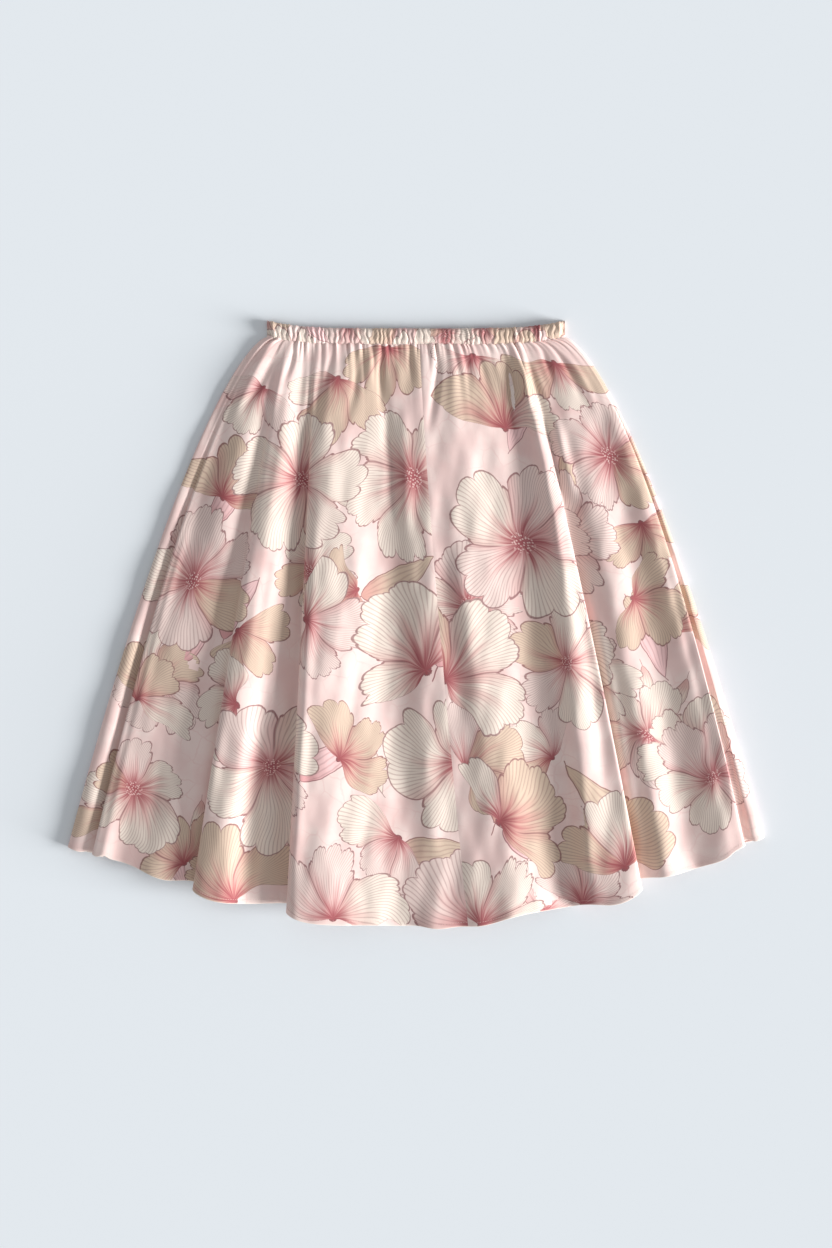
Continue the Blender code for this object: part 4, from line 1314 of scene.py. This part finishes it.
def add_stitches(name, path, up, materials):
    """Straight stitches along a path on the cloth, each a short thread that dips in at both ends."""
    at = lengths_along(path)
    starts = np.arange(STITCH_STEP / 2, at[-1] - STITCH_LENGTH, STITCH_STEP)
    share = np.linspace(0, 1, STITCH_RINGS)
    places = starts[:, None] + share * STITCH_LENGTH
    middle, above = [
        np.stack([np.interp(places, at, values[:, i]) for i in range(3)], axis=2) for values in (path, up)
    ]
    above = unit(above)
    side = unit(np.cross(np.gradient(middle, axis=1), above))
    bow = np.sin(np.pi * share)[:, None]
    middle += above * THREAD * (STITCH_RISE * bow - STITCH_SUNK)
    middle[..., 2] = np.maximum(middle[..., 2], CLEAR + THREAD / 2)
    radius = THREAD / 2 * (0.5 + 0.5 * np.sqrt(bow))[..., None]
    turns = -TURN * np.arange(STITCH_SIDES)[:, None] / STITCH_SIDES
    rings = side[:, :, None] * np.cos(turns) + above[:, :, None] * np.sin(turns)
    tube = tube_faces(STITCH_RINGS, STITCH_SIDES)
    firsts = range(0, len(starts) * STITCH_RINGS * STITCH_SIDES, STITCH_RINGS * STITCH_SIDES)
    faces = [[corner + first for corner in face] for first in firsts for face in tube]
    piece = add_piece(name, middle[:, :, None] + radius * rings, faces, [materials["thread"]])
    round_it = np.arange(STITCH_SIDES) / STITCH_SIDES * THREAD_TWIST
    lay_cut(piece.data, np.stack(np.broadcast_arrays(places[..., None], round_it), axis=-1))


def back_grid():
    """The back between the front's side seams, its creases rising from the surface."""
    t = rows_down(np.linspace(0, PANEL_END, BACK_ROWS))
    share = np.sin(np.linspace(-0.5, 0.5, BACK_COLUMNS + 1) * np.pi)
    reach = FOLDS[0].reach * (1 - share) / 2 + FOLDS[-1].reach * (1 + share) / 2
    reach += BACK_HEM_BULGE * (1 - share**2) ** 2 - BACK_HEM_SHORTER * (1 - share**BACK_HEM_POWER)
    ends = np.array([control_points(row)[0][[0, -1], 0] + (GAP, -GAP) for row in t])
    x = ends[:, :1] + (ends[:, 1:] - ends[:, :1]) * (share + 1) / 2
    top = WAIST_Y + waist_rise(x[0])
    y = top + (hem_y(share * (HEM_WIDTH / 2 - SIDE_TUCK), reach) - top) * t[:, None]
    rise = crease_heights(x, y, BACK_CREASES)
    turns = (share + 1) / 2 * GATHERS
    gathers = gather_heights(turns, t, BACK_GATHER_HEIGHT / 2)
    height = np.maximum(rise, 0.0) + gathers - gathers.min(axis=1, keepdims=True)
    flat = CLOTH / 2 + CLEAR + BACK_HEM_LIFT * eased((t[:, None] - BACK_LIFT_FROM) / BACK_LIFT_OVER)
    grid = np.stack([x, y, flat + height], axis=2)
    shares = arc_shares(grid)
    return grid, cut_places(shares, t, 0.5)


def add_back(materials):
    grid, cut = back_grid()
    low, high = cut.reshape(-1, 2).min(axis=0), cut.reshape(-1, 2).max(axis=0)
    motifs = scattered_motifs(low, high, seed=11)
    inside_up = [materials["wrong"], materials["print"]]
    piece = add_cloth("back_cloth", "back_panel", grid[:BACK_ROWS], cut[:BACK_ROWS], motifs, inside_up)
    strip = grid[BACK_ROWS - 1 :], cut[BACK_ROWS - 1 :]
    return piece, add_hem("back_hem", "hem_back", *strip, motifs, materials)


def pucker(share, up):
    """Swell of the band's puckers, about 0 to 1, at shares along and up it, smoother near the middle."""
    turns = FINE_PUCKERS * (share + waves(PUCKER_SHIFTS, share))
    turns += (up - 0.5) * waves(PUCKER_LEANS, share)
    turns += PUCKER_WAVER * np.sin(WAVER_UP * up + WAVER_ALONG * share)
    calm = 1 - CALM_DEPTH * np.exp(-(((share - CALM_PLACE) / CALM_WIDTH) ** 2))
    crests = np.abs(np.sin(np.pi * turns)) ** VALLEY_SHARPNESS
    halves = HALF_PUCKERS * (np.abs(np.sin(TURN * turns + waves(HALF_SHIFTS, share))) - 0.5)
    return calm * (crests + halves) * (FINE_MEAN + waves(FINE_STRENGTHS, share + STRENGTH_LEAN * up))


def band_bottom(x, on_back):
    """Height of a casing's underside. The front one lies on the back one until close to its ends."""
    if on_back:
        return CLEAR * np.ones_like(x)
    before, over = BAND_END_DROP
    drop = eased((np.abs(x) - WAIST_WIDTH / 2 + before) / over)
    return CLEAR + (BAND_WALL + BAND_SWELL + GAP) * (1 - drop)


def band_rings(share, x, bottom):
    """The lines that run along a casing, round its section, and how far up the band each lies."""
    foot = WAIST_Y + BAND_FOOT + waist_rise(x)
    stitched = BAND_STITCH_RING / (BAND_RINGS - 1)
    upper, lower = np.linspace(0, 1, BAND_RINGS), list(UNDERSIDE)
    rings = []
    for up in upper:
        swell = FINE_SWELL * pucker(share, up)
        edge = 1 - np.abs(2 * up - 1) ** BAND_ROUND[int(up > 0.5)]
        crown = BAND_WALL * (EDGE_WALL + (1 - EDGE_WALL) * edge)
        stitch = BAND_STITCH_DIP * np.exp(-((BAND_HEIGHT * (up - stitched) / BAND_STITCH_WIDTH) ** 2))
        z = bottom + crown + (swell - SWELL_SUNK) * (EDGE_SWELL + (1 - EDGE_SWELL) * edge) - stitch
        ripple = EDGE_RIPPLE * (swell - EDGE_RIPPLE_MEAN) * (2 * up - 1) * (1 - edge)
        rings.append(np.stack([x, foot + up * BAND_HEIGHT + ripple, z], axis=1))
    for up in lower:
        rings.append(np.stack([x, foot + up * BAND_HEIGHT, bottom + UNDERSIDE[up] * BAND_WALL], axis=1))
    return np.array(rings[::-1]), np.array([*upper, *lower][::-1])


def add_band(name, node, half_width, on_back, materials, seed):
    """A puckered elastic casing, a soft flattened tube from end to end, and its stitches."""
    stations = FINE_PUCKERS * PUCKER_STATIONS + 1
    share = np.linspace(0, 1, stations)
    x = half_width * (2 * share - 1)
    rings, along = band_rings(share, x, band_bottom(x, on_back))
    around = len(rings)
    piece = add_piece(name, rings.transpose(1, 0, 2), tube_faces(stations, around), [materials["casing"]])
    cut = np.stack([np.repeat(x, around) * CASING_STRETCH, np.tile(along, stations) * BAND_HEIGHT], axis=1)
    low, high = cut.min(axis=0) - CASING_MARGIN, cut.max(axis=0) + CASING_MARGIN
    lay_print(piece, cut, scattered_motifs(low, high, seed))
    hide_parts(node)

    row = around - 1 - BAND_STITCH_RING
    up = np.cross(np.gradient(rings[row], axis=0), rings[row] - rings[row + 1])
    add_stitches(f"{name}_stitches", rings[row], up, materials)


# ---- the stage ----
FRAME_HEIGHT, MM_PER_PIXEL = 1248, 1.11
CAMERA_HEIGHT, SENSOR_WIDTH = 3.2, 36.0  # in metres, and in millimetres
FRAME_LEVEL = 0.008  # height at which the frame is this size
SUN_ELEVATION, SUN_AZIMUTH = 14.0, -15.0  # where the light comes from: low, from the lower right
SUN_STRENGTH, SUN_SOFTNESS = 6.8, 24.0
SKY_STRENGTH = 0.475
FLOOR_SIZE = 60.0  # from its middle to its sides, in metres, past the end of every view
FLOOR_ROUGHNESS, FLOOR_SPECULAR = 0.9, 0.1


def add_stage():
    scene = bpy.context.scene
    scene.view_settings.view_transform = "Standard"
    world = bpy.data.worlds.new("studio")
    world.use_nodes = True
    sky = world.node_tree.nodes["Background"]
    sky.inputs["Color"].default_value = SKY
    sky.inputs["Strength"].default_value = SKY_STRENGTH
    scene.world = world
    add_floor()

    sun = bpy.data.lights.new("key", "SUN")
    sun.energy = SUN_STRENGTH
    sun.angle = np.radians(SUN_SOFTNESS)
    high, round_z = np.radians((SUN_ELEVATION, SUN_AZIMUTH))
    toward = (np.cos(high) * np.cos(round_z), np.cos(high) * np.sin(round_z), np.sin(high))
    add_object("key", sun).rotation_euler = Vector(toward).to_track_quat("Z", "Y").to_euler()

    camera = bpy.data.cameras.new("camera")
    camera.sensor_width = SENSOR_WIDTH
    frame_height = FRAME_HEIGHT * MM_PER_PIXEL * MM
    camera.lens = SENSOR_WIDTH * (CAMERA_HEIGHT - FRAME_LEVEL) / frame_height
    scene.camera = add_object("camera", camera)
    scene.camera.location = (0.0, 0.0, CAMERA_HEIGHT)


def add_floor():
    mesh = bpy.data.meshes.new("floor")
    corners = [(x * FLOOR_SIZE, y * FLOOR_SIZE, 0) for x, y in ((-1, -1), (1, -1), (1, 1), (-1, 1))]
    mesh.from_pydata(corners, [], [(0, 1, 2, 3)])
    material, _, _ = new_material(
        "floor", Base_Color=FLOOR, Roughness=FLOOR_ROUGHNESS, Specular_IOR_Level=FLOOR_SPECULAR
    )
    mesh.materials.append(material)
    return add_object("floor", mesh)


def main():
    add_stage()
    materials = add_materials()
    grid, cut, seam = front_grid()
    halves = [add_front(half, grid, cut, seam, materials) for half in ("left", "right")]
    back, back_hem = add_back(materials)
    half_width = WAIST_WIDTH / 2
    add_band("front_casing", "waistband_front", half_width, False, materials, seed=5)
    add_band("back_casing", "waistband_back", half_width - BACK_BAND_SHORTER, True, materials, seed=8)

    length, width = SEAM_LENGTH * MM, CUT_HEM * MM
    area = (CUT_WAIST + CUT_HEM) / 2 * MM * length
    left_share = arc_shares(grid)[:, seam].mean()
    for (piece, hem), share in zip(halves, (left_share, 1 - left_share)):
        flat = (width * share, length)
        part = area * share


main()
